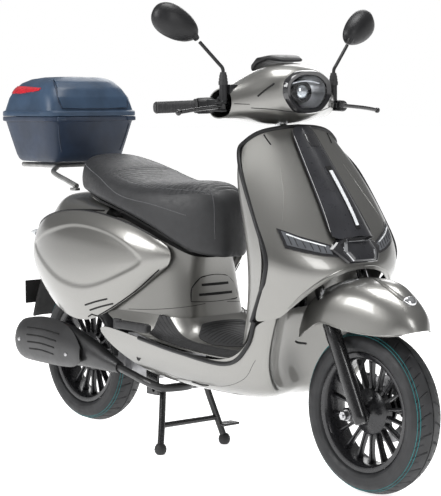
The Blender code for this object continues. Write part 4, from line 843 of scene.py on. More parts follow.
def make_tyre(word, axle):
    section = tyre_section()
    verts = []
    for k in range(AROUND):
        a = 2 * math.pi * k / AROUND
        for r, y in section:
            cut = sipe_depth(k / AROUND, y) if r > 0.206 else 0.0
            verts.append((axle.x + (r - cut) * math.cos(a), y, axle.z + (r - cut) * math.sin(a)))
    width = len(section)
    faces = []
    for k in range(AROUND):
        nxt = (k + 1) % AROUND
        for j in range(width - 1):
            faces.append((k * width + j, nxt * width + j, nxt * width + j + 1, k * width + j + 1))
        faces.append((k * width + width - 1, nxt * width + width - 1, nxt * width, k * width))
    tyre = tidy(mesh_object(f"{word}_tyre_looks", verts, faces), 30.0)
    piece(tyre, f"{word}_wheel", "tyre_rubber", TYRE, f"{word}_tyre")
    for k, (r, y) in enumerate(((0.2132, -0.0439), (0.2178, -0.0372))):
        ring = [(axle.x + r * math.cos(a), y, axle.z + r * math.sin(a)) for a in around(160)]
        piece(tube(f"{word}_tyre_line_{k}", ring, 0.00085, 6, closed=True), f"{word}_wheel", "tyre_rubber",
              TEAL)


def make_rim(word, axle, hub_half):
    parts = [turned("barrel", [(0.165, -0.042), (0.1656, -0.04), (0.164, -0.0375), (0.156, -0.035),
                               (0.155, 0.0), (0.156, 0.035), (0.164, 0.0375), (0.1656, 0.04),
                               (0.165, 0.042), (0.1625, 0.0425), (0.152, 0.04), (0.147, 0.033),
                               (0.145, 0.018), (0.144, 0.0), (0.145, -0.018), (0.147, -0.033),
                               (0.152, -0.04), (0.1625, -0.0425)], axle, SPIN, 120)]
    parts.append(turned("hub", [(AXLE_R, -hub_half), (0.019, -hub_half), (0.021, -hub_half + 0.003),
                                (0.024, -0.034), (0.031, -0.028), (0.042, -0.0185), (0.06, -0.015),
                                (0.064, -0.011), (0.064, 0.011), (0.06, 0.015), (0.042, 0.0185),
                                (0.031, 0.028), (0.024, 0.034), (0.021, hub_half - 0.003),
                                (0.019, hub_half), (AXLE_R, hub_half)], axle, -SPIN, 96))
    for k in range(SPOKES):
        a = 2 * math.pi * (k + 0.5) / SPOKES
        out = Vector((math.cos(a), 0.0, math.sin(a)))
        across = Vector((-math.sin(a), 0.0, math.cos(a)))
        rings = []
        for r, wide, deep, dish in ((0.052, 0.0072, 0.0125, 0.0), (0.07, 0.005, 0.0115, 0.0),
                                    (0.105, 0.0042, 0.01, 0.002), (0.132, 0.0048, 0.0115, 0.002),
                                    (0.15, 0.0075, 0.016, 0.0)):
            centre = axle + out * r - SPIN * dish
            rings.append([centre + across * (wide * rounded(math.cos(t), 0.7))
                          + SPIN * (deep * rounded(math.sin(t), 0.7)) for t in around(16)])
        parts.append(loft("spoke", rings, 1))
    piece(joined(f"{word}_rim_looks", parts), f"{word}_wheel", "black_alloy", ALLOY_BLACK, f"{word}_rim")
    start = axle + Vector((0.0, -0.026, 0.15))
    valve = joined(f"{word}_valve", [rod("stem", start, start + Vector((0.0, -0.016, -0.02)), 0.0035),
                                     rod("cap", start + Vector((0.0, -0.014, -0.018)),
                                         start + Vector((0.0, -0.023, -0.029)), 0.0048, 12)])
    piece(valve, f"{word}_wheel", "rubber_black", RUBBER)


def make_disc():
    ring = turned("ring", [(0.064, 0.0525), (0.0935, 0.0525), (0.094, 0.053), (0.094, 0.056),
                           (0.0935, 0.0565), (0.064, 0.0565)], FRONT_AXLE, SPIN, 120)
    work = bmesh.new()
    for k in range(30):
        a = 2 * math.pi * k / 30
        r = 0.072 + 0.0075 * (k % 3)
        place = Matrix.Translation(FRONT_AXLE + Vector((r * math.cos(a), 0.0545, r * math.sin(a))))
        place = place @ Matrix.Rotation(math.pi / 2, 4, "X")
        bmesh.ops.create_cone(work, cap_ends=True, segments=14, radius1=0.0028, radius2=0.0028, depth=0.02,
                              matrix=place)
    carved(ring, object_of(work, "drill"))
    piece(tidy(ring), "front_wheel", "bright_steel", STEEL)
    carrier = [turned("carrier", [(0.022, 0.05), (0.04, 0.05), (0.04, 0.056), (0.022, 0.056)],
                      FRONT_AXLE, SPIN, 60)]
    for k in range(5):
        a = 2 * math.pi * k / 5
        out = Vector((math.cos(a), 0.0, math.sin(a)))
        carrier.append(rod("arm", FRONT_AXLE + out * 0.036 + SPIN * 0.053,
                           FRONT_AXLE + out * 0.067 + SPIN * 0.0545, 0.0065, 16, 0.0045))
    piece(joined("disc_carrier", carrier), "front_wheel", "black_alloy", ALLOY_BLACK, "brake_disc")


make_tyre("front", FRONT_AXLE)
make_tyre("rear", REAR_AXLE)
make_rim("front", FRONT_AXLE, 0.052)
make_rim("rear", REAR_AXLE, 0.048)
make_disc()


# ---- fork and front fender ------------------------------------------------------------------------
def make_fork():
    parts = []
    for side in (1, -1):
        foot = on_leg(0.212, side)
        axis = STEER_AXIS
        parts.append(turned("leg", [(0, 0), (0.017, 0), (0.0205, 0.004), (0.0215, 0.02), (0.022, 0.12),
                                    (0.0215, 0.235), (0.0224, 0.24), (0.0224, 0.262), (0.0214, 0.268),
                                    (0.0218, 0.286), (0.0205, 0.2925), (0.0165, 0.2935)], foot, axis, 48,
                                    False))
        rim = on_leg(0.232, side)
        low = (FRONT_AXLE.x - 0.018, side * LEG_Y - 0.011, FRONT_AXLE.z - 0.018)
        high = (rim.x, side * LEG_Y + 0.011, FRONT_AXLE.z + 0.018)
        parts.append(rounded_box("lug", low, high, 0.006, 4))
        parts.append(rod("boss", FRONT_AXLE + SPIN * (side * 0.056), FRONT_AXLE + SPIN * (side * 0.1),
                         0.0165, 32))
    piece(joined("fork_legs", parts), "front_suspension", "satin_black", STEEL_BLACK, "fork_lowers")
    nuts = [rod("axle", FRONT_AXLE - SPIN * 0.1215, FRONT_AXLE + SPIN * 0.1215, 0.0062, 24)]
    for side in (1, -1):
        nuts.append(rod("nut", FRONT_AXLE + SPIN * (side * 0.1005), FRONT_AXLE + SPIN * (side * 0.116),
                        0.013, 6))
        nuts.append(rod("washer", FRONT_AXLE + SPIN * (side * 0.099), FRONT_AXLE + SPIN * (side * 0.101),
                        0.0155, 32))
    piece(joined("front_axle_nuts", nuts), "front_suspension", "bright_steel", STEEL)
    caliper = [rounded_box("body", (1.213, 0.061, 0.262), (1.262, 0.077, 0.318), 0.006, 3),
               rounded_box("mount", (1.206, 0.066, 0.268), (1.345, 0.072, 0.312), 0.0025, 2)]
    piece(joined("front_caliper", caliper), "front_suspension", "black_alloy", CAST, "brake_caliper")


def make_fender():
    fender = surface("front_fender_looks", FENDER, thickness=0.003)
    tree = bvh_of(fender)
    piece(fender, "steering", "body_silver", PAINT, "front_fender")
    for side, word in SIDES:
        path = [nearest(tree, p) for p in smooth_path(rim_line(FENDER, -1, side), 6)]
        piece(tube(f"fender_lip_{word}", path, 0.0021, 8), "steering", "body_silver", PAINT)
    pod_path = [(1.318, 0.0, 0.598), (1.352, 0.0, 0.594), (1.39, 0.0, 0.584), (1.425, 0.0, 0.568),
                (1.452, 0.0, 0.546), (1.468, 0.0, 0.528)]
    widths = (0.006, 0.02, 0.03, 0.032, 0.025, 0.01)
    rises = (0.001, 0.008, 0.012, 0.013, 0.01, 0.004)
    rings = []
    for point, wide, rise in zip(pod_path, widths, rises):
        base = laid(tree, point, DOWN, 0.0)
        rings.append([base + SPIN * (wide * math.cos(a)) + Vector((0.45, 0, 0.9)) * (rise * math.sin(a))
                      for a in around(16)])
    piece(loft("fender_pod", rings, 2), "steering", "body_silver", PAINT)
    tip = []
    for share, wide, rise in ((0.0, 0.024, 0.009), (0.4, 0.022, 0.01), (0.8, 0.015, 0.008),
                              (1.0, 0.006, 0.004)):
        base = laid(tree, Vector((1.45, 0, 0.55)).lerp(Vector((1.472, 0, 0.527)), share), DOWN, 0.002)
        tip.append([base + SPIN * (wide * math.cos(a)) + Vector((0.5, 0, 0.86)) * (rise * math.sin(a))
                    for a in around(16)])
    piece(loft("fender_pod_tip", tip, 2), "steering", "bright_steel", CHROME)


make_fork()
make_fender()


# ---- front apron, its lamps and the centre tie -----------------------------------------------------
def make_apron():
    apron = surface("front_apron_looks", APRON)
    tree = bvh_of(apron)
    piece(apron, "scooter", "body_silver", PAINT, "front_apron")
    shield = surface("leg_shield_looks", INNER_SHIELD, side=-1.0)
    shield_tree = bvh_of(shield)
    piece(shield, "scooter", "body_silver", PAINT, "inner_leg_shield")
    for side, word in SIDES:
        outer = [Vector((r[-1][0] - 0.008, (r[-1][1] - 0.002) * side, r[-1][2])) for r in APRON]
        top = [Vector((x - 0.004, y * side, z + 0.001)) for x, y, z in APRON[0]]
        path = smooth_path([*top[:-1], *outer], 8)
        piece(tube(f"apron_trim_{word}", path, TRIM_R, 12), "scooter", "gloss_black", SATIN_AND_SHADOW)
    signal_up = [(1.162, 0.206, 0.733), (1.205, 0.16, 0.711), (1.235, 0.11, 0.694), (1.252, 0.072, 0.681)]
    signal_low = [(1.193, 0.203, 0.681), (1.215, 0.16, 0.668), (1.24, 0.115, 0.658), (1.258, 0.066, 0.652)]
    patch_pair("turn_signal_housing", tree, [signal_up, signal_low], INWARD, "scooter", "gloss_black",
               GLOSS, lift=0.0005, thickness=0.0035, steps=(24, 10))
    lens_up = [(1.166, 0.199, 0.7255), (1.205, 0.158, 0.7055), (1.235, 0.112, 0.6895), (1.252, 0.09, 0.682)]
    lens_low = [(1.193, 0.197, 0.688), (1.215, 0.158, 0.676), (1.24, 0.118, 0.665), (1.252, 0.088, 0.66)]
    patch_pair("turn_signal_lens", tree, [lens_up, lens_low], INWARD, "scooter", "lens_clear", SMOKE,
               lift=0.0035, thickness=0.0018, steps=(24, 8))
    for k in range(6):
        share = (k + 0.7) / 6.4
        low = resampled(lens_low, 30)[int(share * 30)]
        high = resampled(lens_up, 30)[int(share * 30)]
        rib = [low.lerp(high, 0.08), low.lerp(high, 0.5), low.lerp(high, 0.92)]
        line_pair(f"turn_signal_rib_{k}", tree, rib, INWARD, 0.0011, "scooter", "gloss_black", GLOSS, 0.0056)
    strip = [resampled(lens_low, 12)[i].lerp(resampled(lens_up, 12)[i], 0.86) for i in range(1, 12)]
    line_pair("turn_signal_guide", tree, strip, INWARD, 0.0019, "scooter", "lens_clear", GUIDE, 0.0056)
    arch = [(1.283, 0.004, 0.628), (1.277, 0.059, 0.623), (1.251, 0.124, 0.596), (1.214, 0.163, 0.556),
            (1.177, 0.181, 0.514)]
    line_pair("wheel_arch_lip", tree, arch, INWARD, 0.0024, "scooter", "body_silver", PAINT)
    vent = [(1.029, 0.121, 0.985), (1.042, 0.119, 0.971), (1.05, 0.116, 0.957)]
    line_pair("apron_vent", tree, vent, INWARD, 0.0022, "scooter", "satin_black", SEAM_AND_SHADOW)
    crease = [(1.09, 0.12, 0.9), (1.14, 0.15, 0.82), (1.18, 0.185, 0.75)]
    line_pair("apron_crease", tree, crease, INWARD, 0.0009, "scooter", "body_silver", PAINT, -0.0002)
    tie = surface("center_tie_looks", TIE, side=-1.0, thickness=0.002)
    tie_tree = bvh_of(tie)
    piece(tie, "scooter", "gloss_black", TIE_GREY, "center_tie")
    groove = [[(1.12, -0.0095, 0.897), (1.18, -0.0085, 0.83), (1.25, -0.008, 0.728)],
              [(1.12, 0.0095, 0.897), (1.18, 0.0085, 0.83), (1.25, 0.008, 0.728)]]
    piece(patch("tie_channel", tie_tree, groove, INWARD, lift=0.0002, thickness=0.001, steps=(30, 6)),
          "scooter", "gloss_black", SEAM_AND_SHADOW)
    strip = [[(1.16, -0.0052, 0.884), (1.2, -0.005, 0.82), (1.25, -0.0046, 0.737)],
             [(1.16, 0.0052, 0.884), (1.2, 0.005, 0.82), (1.25, 0.0046, 0.737)]]
    piece(patch("running_lamp", tie_tree, strip, INWARD, lift=0.0012, thickness=0.0022, steps=(30, 6)),
          "scooter", "lens_clear", GUIDE)
    recess = [[(1.07, -0.022, 0.985), (1.1, -0.018, 0.952)], [(1.07, 0.022, 0.985), (1.1, 0.018, 0.952)]]
    piece(patch("tie_recess", tie_tree, recess, INWARD, lift=0.0002, thickness=0.001, steps=(10, 8)),
          "scooter", "gloss_black", GLOSS)
    for side, word in SIDES:
        edge = smooth_path(rim_line(TIE, -1, side), 6)
        path = [laid(tie_tree, p - Vector((0, 0.002 * side, 0)), INWARD, 0.0) for p in edge]
        piece(tube(f"tie_edge_{word}", path, 0.0016, 8), "scooter", "gloss_black", GLOSS)
    make_badge(NearestOf(tree, tie_tree))
    return shield_tree


class NearestOf:
    """Several trees that are cast on as one: the hit that comes first counts."""

    def __init__(self, *trees):
        self.trees = trees

    def ray_cast(self, start, direction):
        hits = [tree.ray_cast(start, direction) for tree in self.trees]
        hits = [hit for hit in hits if hit[0] is not None]
        return min(hits, key=lambda hit: hit[3]) if hits else (None, None, None, None)

    def find_nearest(self, point):
        return min((tree.find_nearest(point) for tree in self.trees), key=lambda hit: hit[3])


def make_badge(tree):
    """A plain winged hexagon badge."""
    outline = [(0.094, 0.676), (0.05, 0.707), (-0.05, 0.707), (-0.094, 0.676), (-0.056, 0.637),
               (0.056, 0.637)]
    plate = []
    for scale, lift in ((1.0, 0.0), (1.0, 0.01), (0.93, 0.0135), (0.6, 0.0145)):
        plate.append([laid(tree, (1.3, y * scale, 0.674 + (z - 0.674) * scale), INWARD, 0.0)
                      + FORWARD * lift for y, z in loop_points(outline, 6)])
    piece(tidy(grid_object("badge_plate", plate, closed=True, caps=True), 30.0), "scooter", "gloss_black",
          GLOSS)
    hexagon = [(0.06, 0.67), (0.048, 0.698), (-0.048, 0.698), (-0.06, 0.67), (-0.044, 0.643),
               (0.044, 0.643)]
    for name, first, scales, material, slot in (
            ("badge_frame", 0.012,
             ((1.0, 0.0), (1.0, 0.006), (0.95, 0.0085), (0.86, 0.0085), (0.84, 0.006)),
             CHROME, "bright_steel"),
            ("badge_centre", 0.0135, ((0.85, 0.0), (0.85, 0.0045), (0.78, 0.0065), (0.4, 0.008)), TIE_GREY,
             "gloss_black")):
        rows = []
        for scale, lift in scales:
            rows.append([laid(tree, (1.3, y * scale, 0.67 + (z - 0.67) * scale), INWARD, 0.0)
                         + FORWARD * (first + lift) for y, z in loop_points(hexagon, 6)])
        piece(tidy(grid_object(name, rows, closed=True, caps=True), 30.0), "scooter", slot, material)


SHIELD_TREE = make_apron()


def make_shield_details():
    door = [(0.93, -0.03, 0.855), (0.93, 0.15, 0.855), (0.96, 0.16, 0.76), (0.96, 0.14, 0.7),
            (0.96, -0.03, 0.7), (0.94, -0.042, 0.77), (0.93, -0.03, 0.855)]
    piece(line_on("glove_door_gap", SHIELD_TREE, door, FORWARD, 0.0014, 0.0, 8, 8), "scooter", "satin_black",
          SEAM_AND_SHADOW)
    catch = rounded_box("glove_catch", (0.925, 0.045, 0.835), (0.936, 0.075, 0.848), 0.003)
    piece(catch, "scooter", "satin_black", SATIN_AND_SHADOW)
    ring = turned("ring", [(0.0165, 0.0), (0.0255, 0.0), (0.0275, 0.003), (0.0255, 0.0065),
                           (0.0165, 0.0065)], (0.916, -0.075, 0.89), (-1, 0, 0.1), 48)
    piece(ring, "scooter", "satin_black", SATIN_AND_SHADOW)
    ring.name = "lock_ring"
    hook_path = [(0.93, 0.0, 0.9), (0.905, 0.0, 0.905), (0.888, 0.0, 0.895), (0.884, 0.0, 0.88)]
    piece(tube("bag_hook", smooth_path(hook_path, 6), 0.0045, 14), "scooter", "satin_black", SATIN_AND_SHADOW)


def make_key():
    centre = Vector((0.938, -0.075, 0.89))
    barrel = rod("barrel", centre + FORWARD * 0.03, centre - FORWARD * 0.012, 0.0148, 48, edge=0.002)
    piece(barrel, "ignition", "bright_steel", STEEL)
    barrel.name = "ignition_barrel"
    bow = rounded_box("key_bow", centre - Vector((0.046, 0.003, 0.013)),
                      centre + Vector((-0.02, 0.003, 0.013)), 0.0028, 4)
    blade = rounded_box("blade", centre - Vector((0.024, 0.0011, 0.004)),
                        centre + Vector((-0.011, 0.0011, 0.004)), 0.0004, 1)
    piece(joined("key_body", [bow, blade]), "ignition", "satin_black", SATIN_AND_SHADOW, "ignition_key")


make_shield_details()
make_key()


# ---- floor, fairing, tower, cowls and tail ----------------------------------------------------------
def ribbed_mat(name, tree, edges, rib_lines, body="scooter"):
    """A rubber mat that lies on a surface, with raised ribs."""
    parts = [patch("sheet", tree, edges, DOWN, lift=0.0004, thickness=0.0022, steps=(30, 14))]
    for line in rib_lines:
        parts.append(line_on("rib", tree, line, DOWN, 0.0014, 0.0026, 6, 5))
    piece(joined(name, parts), body, "rubber_black", MAT_RUBBER)


def make_floor():
    floor = surface("footboard_looks", FLOOR, side=-1.0)
    tree = bvh_of(floor)
    piece(floor, "scooter", "body_silver", PAINT, "footboard")
    for side, word in SIDES:
        inner = [(0.575, 0.15 * side, 0.5), (0.7, 0.136 * side, 0.5), (0.82, 0.118 * side, 0.5),
                 (0.92, 0.112 * side, 0.5), (0.975, 0.13 * side, 0.5)]
        outer = [(0.55, 0.184 * side, 0.5), (0.7, 0.1865 * side, 0.5), (0.85, 0.1865 * side, 0.5),
                 (0.95, 0.184 * side, 0.5), (0.988, 0.166 * side, 0.5)]
        ribs = []
        for k in range(7):
            share = (k + 1) / 8
            ribs.append([a.lerp(b, share) for a, b in zip(resampled(inner, 12), resampled(outer, 12))][:-1])
        ribbed_mat(f"floor_mat_{word}", tree, [inner, outer], ribs)
    left = [(0.672, 0.08, 0.5), (0.7, 0.116, 0.5), (0.77, 0.116, 0.5), (0.87, 0.092, 0.5),
            (0.95, 0.04, 0.5)]
    right = [(x, -y, z) for x, y, z in left]
    ribs = []
    for k in range(19):
        a, b = resampled(left, 20)[k + 1], resampled(right, 20)[k + 1]
        ribs.append([a.lerp(b, 0.05), a.lerp(b, 0.35), a.lerp(b, 0.65), a.lerp(b, 0.95)])
    ribbed_mat("floor_mat_middle", tree, [left, right], ribs)


def make_fairing():
    rows = [*WELL_WALL, *FAIRING]
    fairing = surface("lower_fairing_looks", rows)
    tree = bvh_of(fairing)
    piece(fairing, "scooter", "body_silver", PAINT, "lower_fairing")
    for side, word in SIDES:
        edge = [Vector(row[-1]) for row in FAIRING[1:-1]]
        path = smooth_path([(p.x, (p.y + 0.0005) * side, p.z + 0.001) for p in edge], 8)
        piece(tube(f"floor_edge_trim_{word}", path, TRIM_R, 12), "scooter", "gloss_black", SATIN_AND_SHADOW)
    slit = [(0.733, 0.17, 0.256), (0.77, 0.17, 0.252), (0.809, 0.17, 0.255)]
    line_pair("fairing_slit", tree, slit, TO_RIGHT, 0.0028, "scooter", "satin_black", SEAM_AND_SHADOW)
    crease = [(0.6, 0.2, 0.268), (0.72, 0.2, 0.258), (0.88, 0.2, 0.262), (1.0, 0.2, 0.3), (1.06, 0.2, 0.36)]
    line_pair("fairing_crease", tree, crease, TO_RIGHT, 0.001, "scooter", "satin_black", SEAM_AND_SHADOW, -0.0006)
    for side, word in SIDES:
        spot = laid(tree, (0.502, 0.193 * side, 0.303), (0.0, -side, 0.0), 0.0)
        profile = [(0, 0.0004), (0.0052, 0.0004), (0.0062, 0.0014), (0.0085, 0.0016), (0.009, 0.0),
                   (0, -0.001)]
        cup = turned(f"fairing_fastener_{word}", profile, spot, (0, side, 0), 32, False)
        piece(cup, "scooter", "satin_black", SATIN_AND_SHADOW)


def make_tower():
    tower = surface("seat_tower_looks", TOWER)
    tree = bvh_of(tower)
    piece(tower, "scooter", "body_silver", PAINT, "seat_tower")
    bottom = [(0.66, -0.09, 0.479), (0.66, -0.045, 0.476), (0.66, 0.0, 0.475), (0.66, 0.045, 0.476),
              (0.66, 0.09, 0.479)]
    middle = [(0.66, -0.084, 0.517), (0.66, -0.042, 0.519), (0.66, 0.0, 0.52), (0.66, 0.042, 0.519),
              (0.66, 0.084, 0.517)]
    top = [(0.66, -0.054, 0.546), (0.66, -0.028, 0.552), (0.66, 0.0, 0.554), (0.66, 0.028, 0.552),
           (0.66, 0.054, 0.546)]
    piece(patch("tower_vent_panel", tree, [bottom, middle, top], INWARD, lift=0.0006, thickness=0.003,
                steps=(24, 8)), "scooter", "body_silver", PAINT)
    outline = [*bottom, middle[-1], *reversed(top), middle[0], bottom[0]]
    piece(line_on("tower_vent_gap", tree, outline, INWARD, 0.0016, 0.0006, 8, 5), "scooter", "satin_black",
          SEAM_AND_SHADOW)
    for k, (z, wide) in enumerate(((0.526, 0.052), (0.497, 0.064))):
        slot = [[(0.66, -wide, z - 0.0038), (0.66, 0, z - 0.0042), (0.66, wide, z - 0.0038)],
                [(0.66, -wide, z + 0.0038), (0.66, 0, z + 0.0042), (0.66, wide, z + 0.0038)]]
        piece(patch(f"tower_vent_slot_{k}", tree, slot, INWARD, lift=0.0037, thickness=0.0004,
                    steps=(20, 4)), "scooter", "satin_black", SEAM_AND_SHADOW)
    seam = [(0.46, 0.2, 0.446), (0.56, 0.18, 0.452), (0.66, 0.13, 0.464), (0.66, 0.06, 0.47)]
    line_pair("tower_seam", tree, seam, Vector((-0.7, -0.7, 0)), 0.0009, "scooter", "satin_black", SEAM_AND_SHADOW,
              -0.0002)


COWL_PAD = [(-0.078, 0.618), (0.058, 0.668), (0.225, 0.699), (0.405, 0.675), (0.52, 0.605), (0.44, 0.548),
            (0.288, 0.501), (0.15, 0.512), (0.03, 0.562)]
PAD_DEPTH = 0.0045
PAD_EDGE = 0.012


def edge_distance(point, outline):
    """How far inside a loop in x and z a point lies. It is negative outside."""
    inside = False
    closest = 1.0
    for a, b in zip(outline, outline[1:]):
        if (a.z > point.z) != (b.z > point.z):
            if point.x < a.x + (b.x - a.x) * (point.z - a.z) / (b.z - a.z):
                inside = not inside
        ax, az, bx, bz = a.x - point.x, a.z - point.z, b.x - a.x, b.z - a.z
        t = min(1.0, max(0.0, -(ax * bx + az * bz) / (bx * bx + bz * bz + 1e-12)))
        closest = min(closest, math.hypot(ax + bx * t, az + bz * t))
    return closest if inside else -closest


def make_cowls():
    cowl = surface("side_cowl_left_looks", COWL, mirror=False, side=-1.0, levels=4)
    outline = [Vector((x, 0.0, z)) for x, z in COWL_PAD]
    outline = smooth_path([*outline, outline[0]], 5)
    for v in cowl.data.vertices:
        inside = edge_distance(v.co, outline)
        v.co.y -= PAD_DEPTH * smoothstep(-0.002, PAD_EDGE, inside)
    tidy(cowl)
    twin = mirrored("side_cowl_right_looks", cowl)
    piece(cowl, "scooter", "body_silver", PAINT, "side_cowl_left")
    piece(twin, "scooter", "body_silver", PAINT, "side_cowl_right")
    both = bvh_of(cowl, twin)
    for k, (a, b) in enumerate((((0.267, 0.446), (0.374, 0.474)), ((0.284, 0.431), (0.391, 0.46)))):
        middle = ((a[0] + b[0]) / 2, 0.25, (a[1] + b[1]) / 2 + 0.001)
        line_pair(f"cowl_slot_{k}", both, [(a[0], 0.25, a[1]), middle, (b[0], 0.25, b[1])], TO_RIGHT, 0.003,
                  "scooter", "satin_black", SEAM_AND_SHADOW, -0.0008)
    # Painted shadow: a black line along the cowl's top edge stands for the shade in the gap between the cowl
    # and the panels under it.
    upper = [Vector(row[0]) for row in COWL]
    for side, word in SIDES:
        path = [nearest(both, (p.x, p.y * side, p.z)) for p in smooth_path(upper, 6)]
        piece(tube(f"cowl_top_line_{word}", path, 0.003, 8), "scooter", "satin_black", SATIN_AND_SHADOW)
    # Painted shadow: a black line along the cowl's lower front edge stands for the shade in the gap under
    # the cowl.
    low_edge = [(row[-1][0], 0.25, row[-1][2] + 0.004) for row in reversed(COWL[:4])]
    line_pair("cowl_edge_shadow_line", both, low_edge, TO_RIGHT, 0.0024, "scooter", "satin_black", SEAM_AND_SHADOW)


TAIL_LAMP_Z = 0.64


def make_tail():
    tail = surface("tail_body_looks", TAIL, side=-1.0)
    tree = bvh_of(tail)
    piece(tail, "scooter", "body_silver", PAINT, "tail_body")
    line_pair("tail_slot", tree, [(0.112, 0.25, 0.733), (0.21, 0.25, 0.7385), (0.3, 0.25, 0.74)],
              TO_RIGHT, 0.003, "scooter", "satin_black", SEAM_AND_SHADOW)
    lens = []
    for x, half_y, half_z in ((-0.176, 0.072, 0.03), (-0.19, 0.074, 0.03), (-0.201, 0.066, 0.027),
                              (-0.206, 0.045, 0.018)):
        lens.append([Vector((x + 0.01 * (abs(math.cos(a)) ** 2), half_y * rounded(math.cos(a)),
                             TAIL_LAMP_Z + half_z * rounded(math.sin(a)))) for a in around(48)])
    piece(loft("tail_lamp", lens), "scooter", "lens_red", RED, "tail_light")
    for side, word in SIDES:
        lamp = []
        for x, size in ((-0.15, 0.9), (-0.166, 1.0), (-0.18, 0.8), (-0.184, 0.4)):
            lamp.append([Vector((x, side * 0.106 + 0.026 * size * math.cos(a),
                                 TAIL_LAMP_Z + 0.015 * size * math.sin(a))) for a in around(32)])
        piece(loft(f"rear_signal_{word}", lamp), "scooter", "lens_clear", GUIDE)
    guard = surface("rear_mudguard_looks", MUDGUARD, thickness=0.003)
    piece(guard, "scooter", "satin_black", MATT, "rear_mudguard")
    plate = rounded_box("plate_holder", (-0.2885, -0.08, 0.392), (-0.2845, 0.08, 0.47), 0.0015, 2)
    piece(plate, "scooter", "satin_black", MATT)


make_floor()
make_fairing()
make_tower()
make_cowls()
make_tail()


# ---- seat ---------------------------------------------------------------------------------------
UNDERSIDE = [(0.07, 0.79), (0.2, 0.7715), (0.3, 0.754), (0.4, 0.73), (0.5, 0.695), (0.6, 0.648),
             (0.65, 0.622), (0.74, 0.617)]
SEAT = [(0.736, 0.742, 0.026), (0.722, 0.792, 0.056), (0.69, 0.824, 0.088), (0.635, 0.842, 0.124),
        (0.53, 0.838, 0.162), (0.385, 0.834, 0.18), (0.25, 0.882, 0.174), (0.14, 0.914, 0.132),
        (0.07, 0.912, 0.104)]
SEAT_LIFT = 0.011
NOSE_DROP = 0.014
PLEAT = 0.017


def under_seat_height(x):
    """The height of the seat's underside."""
    for (x0, z0), (x1, z1) in zip(UNDERSIDE, UNDERSIDE[1:]):
        if x <= x1:
            return z0 + (z1 - z0) * (x - x0) / (x1 - x0)
    return UNDERSIDE[-1][1]


def make_seat():
    rings = []
    for x, top, half in SEAT:
        low = under_seat_height(x) + SEAT_LIFT - NOSE_DROP * smoothstep(0.56, 0.62, x)
        rise = top - low
        side = [(0, top), (half * 0.6, top - 0.004), (half * 0.93, low + rise * 0.78),
                (half, low + rise * 0.35), (half * 0.985, low), (half * 0.6, low), (0, low)]
        rings.append([(x, y, z) for y, z in side] + [(x, -y, z) for y, z in reversed(side) if y > 0])
    seat = loft("seat_looks", rings, 5)
    normals = [v.normal.copy() for v in seat.data.vertices]
    for v, normal in zip(seat.data.vertices, normals):
        x, y, z = v.co
        if z < under_seat_height(x) + 0.03:
            continue
        inset = smoothstep(0.135, 0.122, abs(y)) * smoothstep(0.29, 0.302, x) * smoothstep(0.7, 0.688, x)
        if inset and normal.z > 0.55:
            wave = abs(math.sin(math.pi * (x - 0.3) / PLEAT))
            v.co.z -= inset * (0.0034 - 0.003 * wave**0.6)
        elif normal.z > 0.3:
            v.co.z -= 0.0016 * math.exp(-((x - 0.275) / 0.006) ** 2)
    tidy(seat, 60.0)
    tree = bvh_of(seat)
    piece(seat, "seat", "seat_vinyl", VINYL, "seat_cushion")
    for side, word in SIDES:
        inset = [(0.292, 0.128, 1.0), (0.385, 0.131, 1.0), (0.5, 0.122, 1.0), (0.6, 0.102, 1.0),
                 (0.688, 0.06, 1.0)]
        seam = [(x, y * side, z) for x, y, z in inset]
        piece(line_on(f"seat_insert_seam_{word}", tree, seam, DOWN, 0.0013, -0.0002, 8, 8), "seat",
              "seat_vinyl", THREAD)
        inwards = Vector((0, -side, 0))
        line = [(0.11, 0.2 * side, 0.88), (0.25, 0.2 * side, 0.845), (0.385, 0.2 * side, 0.792),
                (0.53, 0.2 * side, 0.768), (0.64, 0.2 * side, 0.74)]
        piece(line_on(f"seat_side_seam_{word}", tree, line, inwards, 0.0014, -0.0002, 8, 8), "seat",
              "seat_vinyl", THREAD)
        front = [(0.9, 0.052 * side, 0.815), (0.9, 0.058 * side, 0.78), (0.9, 0.062 * side, 0.72),
                 (0.9, 0.062 * side, 0.67)]
        piece(line_on(f"seat_nose_seam_{word}", tree, front, INWARD, 0.0013, -0.0002, 8, 8), "seat",
              "seat_vinyl", THREAD)
    across = [(0.285, -0.13, 1.0), (0.283, 0.0, 1.0), (0.285, 0.13, 1.0)]
    piece(line_on("seat_cross_seam", tree, across, DOWN, 0.0014, -0.0002, 8, 12), "seat", "seat_vinyl",
          THREAD)


make_seat()


# ---- rack, top case --------------------------------------------------------------------------------
CASE_X = -0.13


def case_ring(half_x, half_y, z, shift=0.0):
    """A level section of the top case, boxier low down than at its crown."""
    power = 7.5 - 4.0 * smoothstep(1.05, 1.155, z)
    half_x, half_y = half_x * 0.955, half_y * 0.955
    return [Vector((CASE_X + shift + half_x * rounded(math.cos(a), 2 / power),
                    half_y * rounded(math.sin(a), 2 / power), z)) for a in around(96)]


def make_rack():
    tubes = []
    for sign in (1, -1):
        side = [(0.115, 0.142 * sign, 0.809), (0.06, 0.14 * sign, 0.824), (-0.03, 0.132 * sign, 0.848),
                (-0.05, 0.104 * sign, 0.866), (-0.11, 0.096 * sign, 0.868), (-0.262, 0.096 * sign, 0.868)]
        tubes.append(tube("rail", smooth_path(side, 8), 0.0085, 18))
        tubes.append(rounded_box("foot", (0.09, 0.142 * sign - 0.01, 0.7945),
                                 (0.12, 0.142 * sign + 0.01, 0.8035), 0.002))
        tubes.append(rod("bolt", (0.105, 0.142 * sign, 0.803), (0.105, 0.142 * sign, 0.811), 0.0062, 6))
    tubes.append(rod("cross_front", (-0.07, -0.1, 0.868), (-0.07, 0.1, 0.868), 0.0075))
    tubes.append(rod("cross_rear", (-0.25, -0.096, 0.868), (-0.25, 0.096, 0.868), 0.0075))
    piece(joined("rack_looks", tubes), "scooter", "rack_grey", RACK_GREY, "rear_rack")


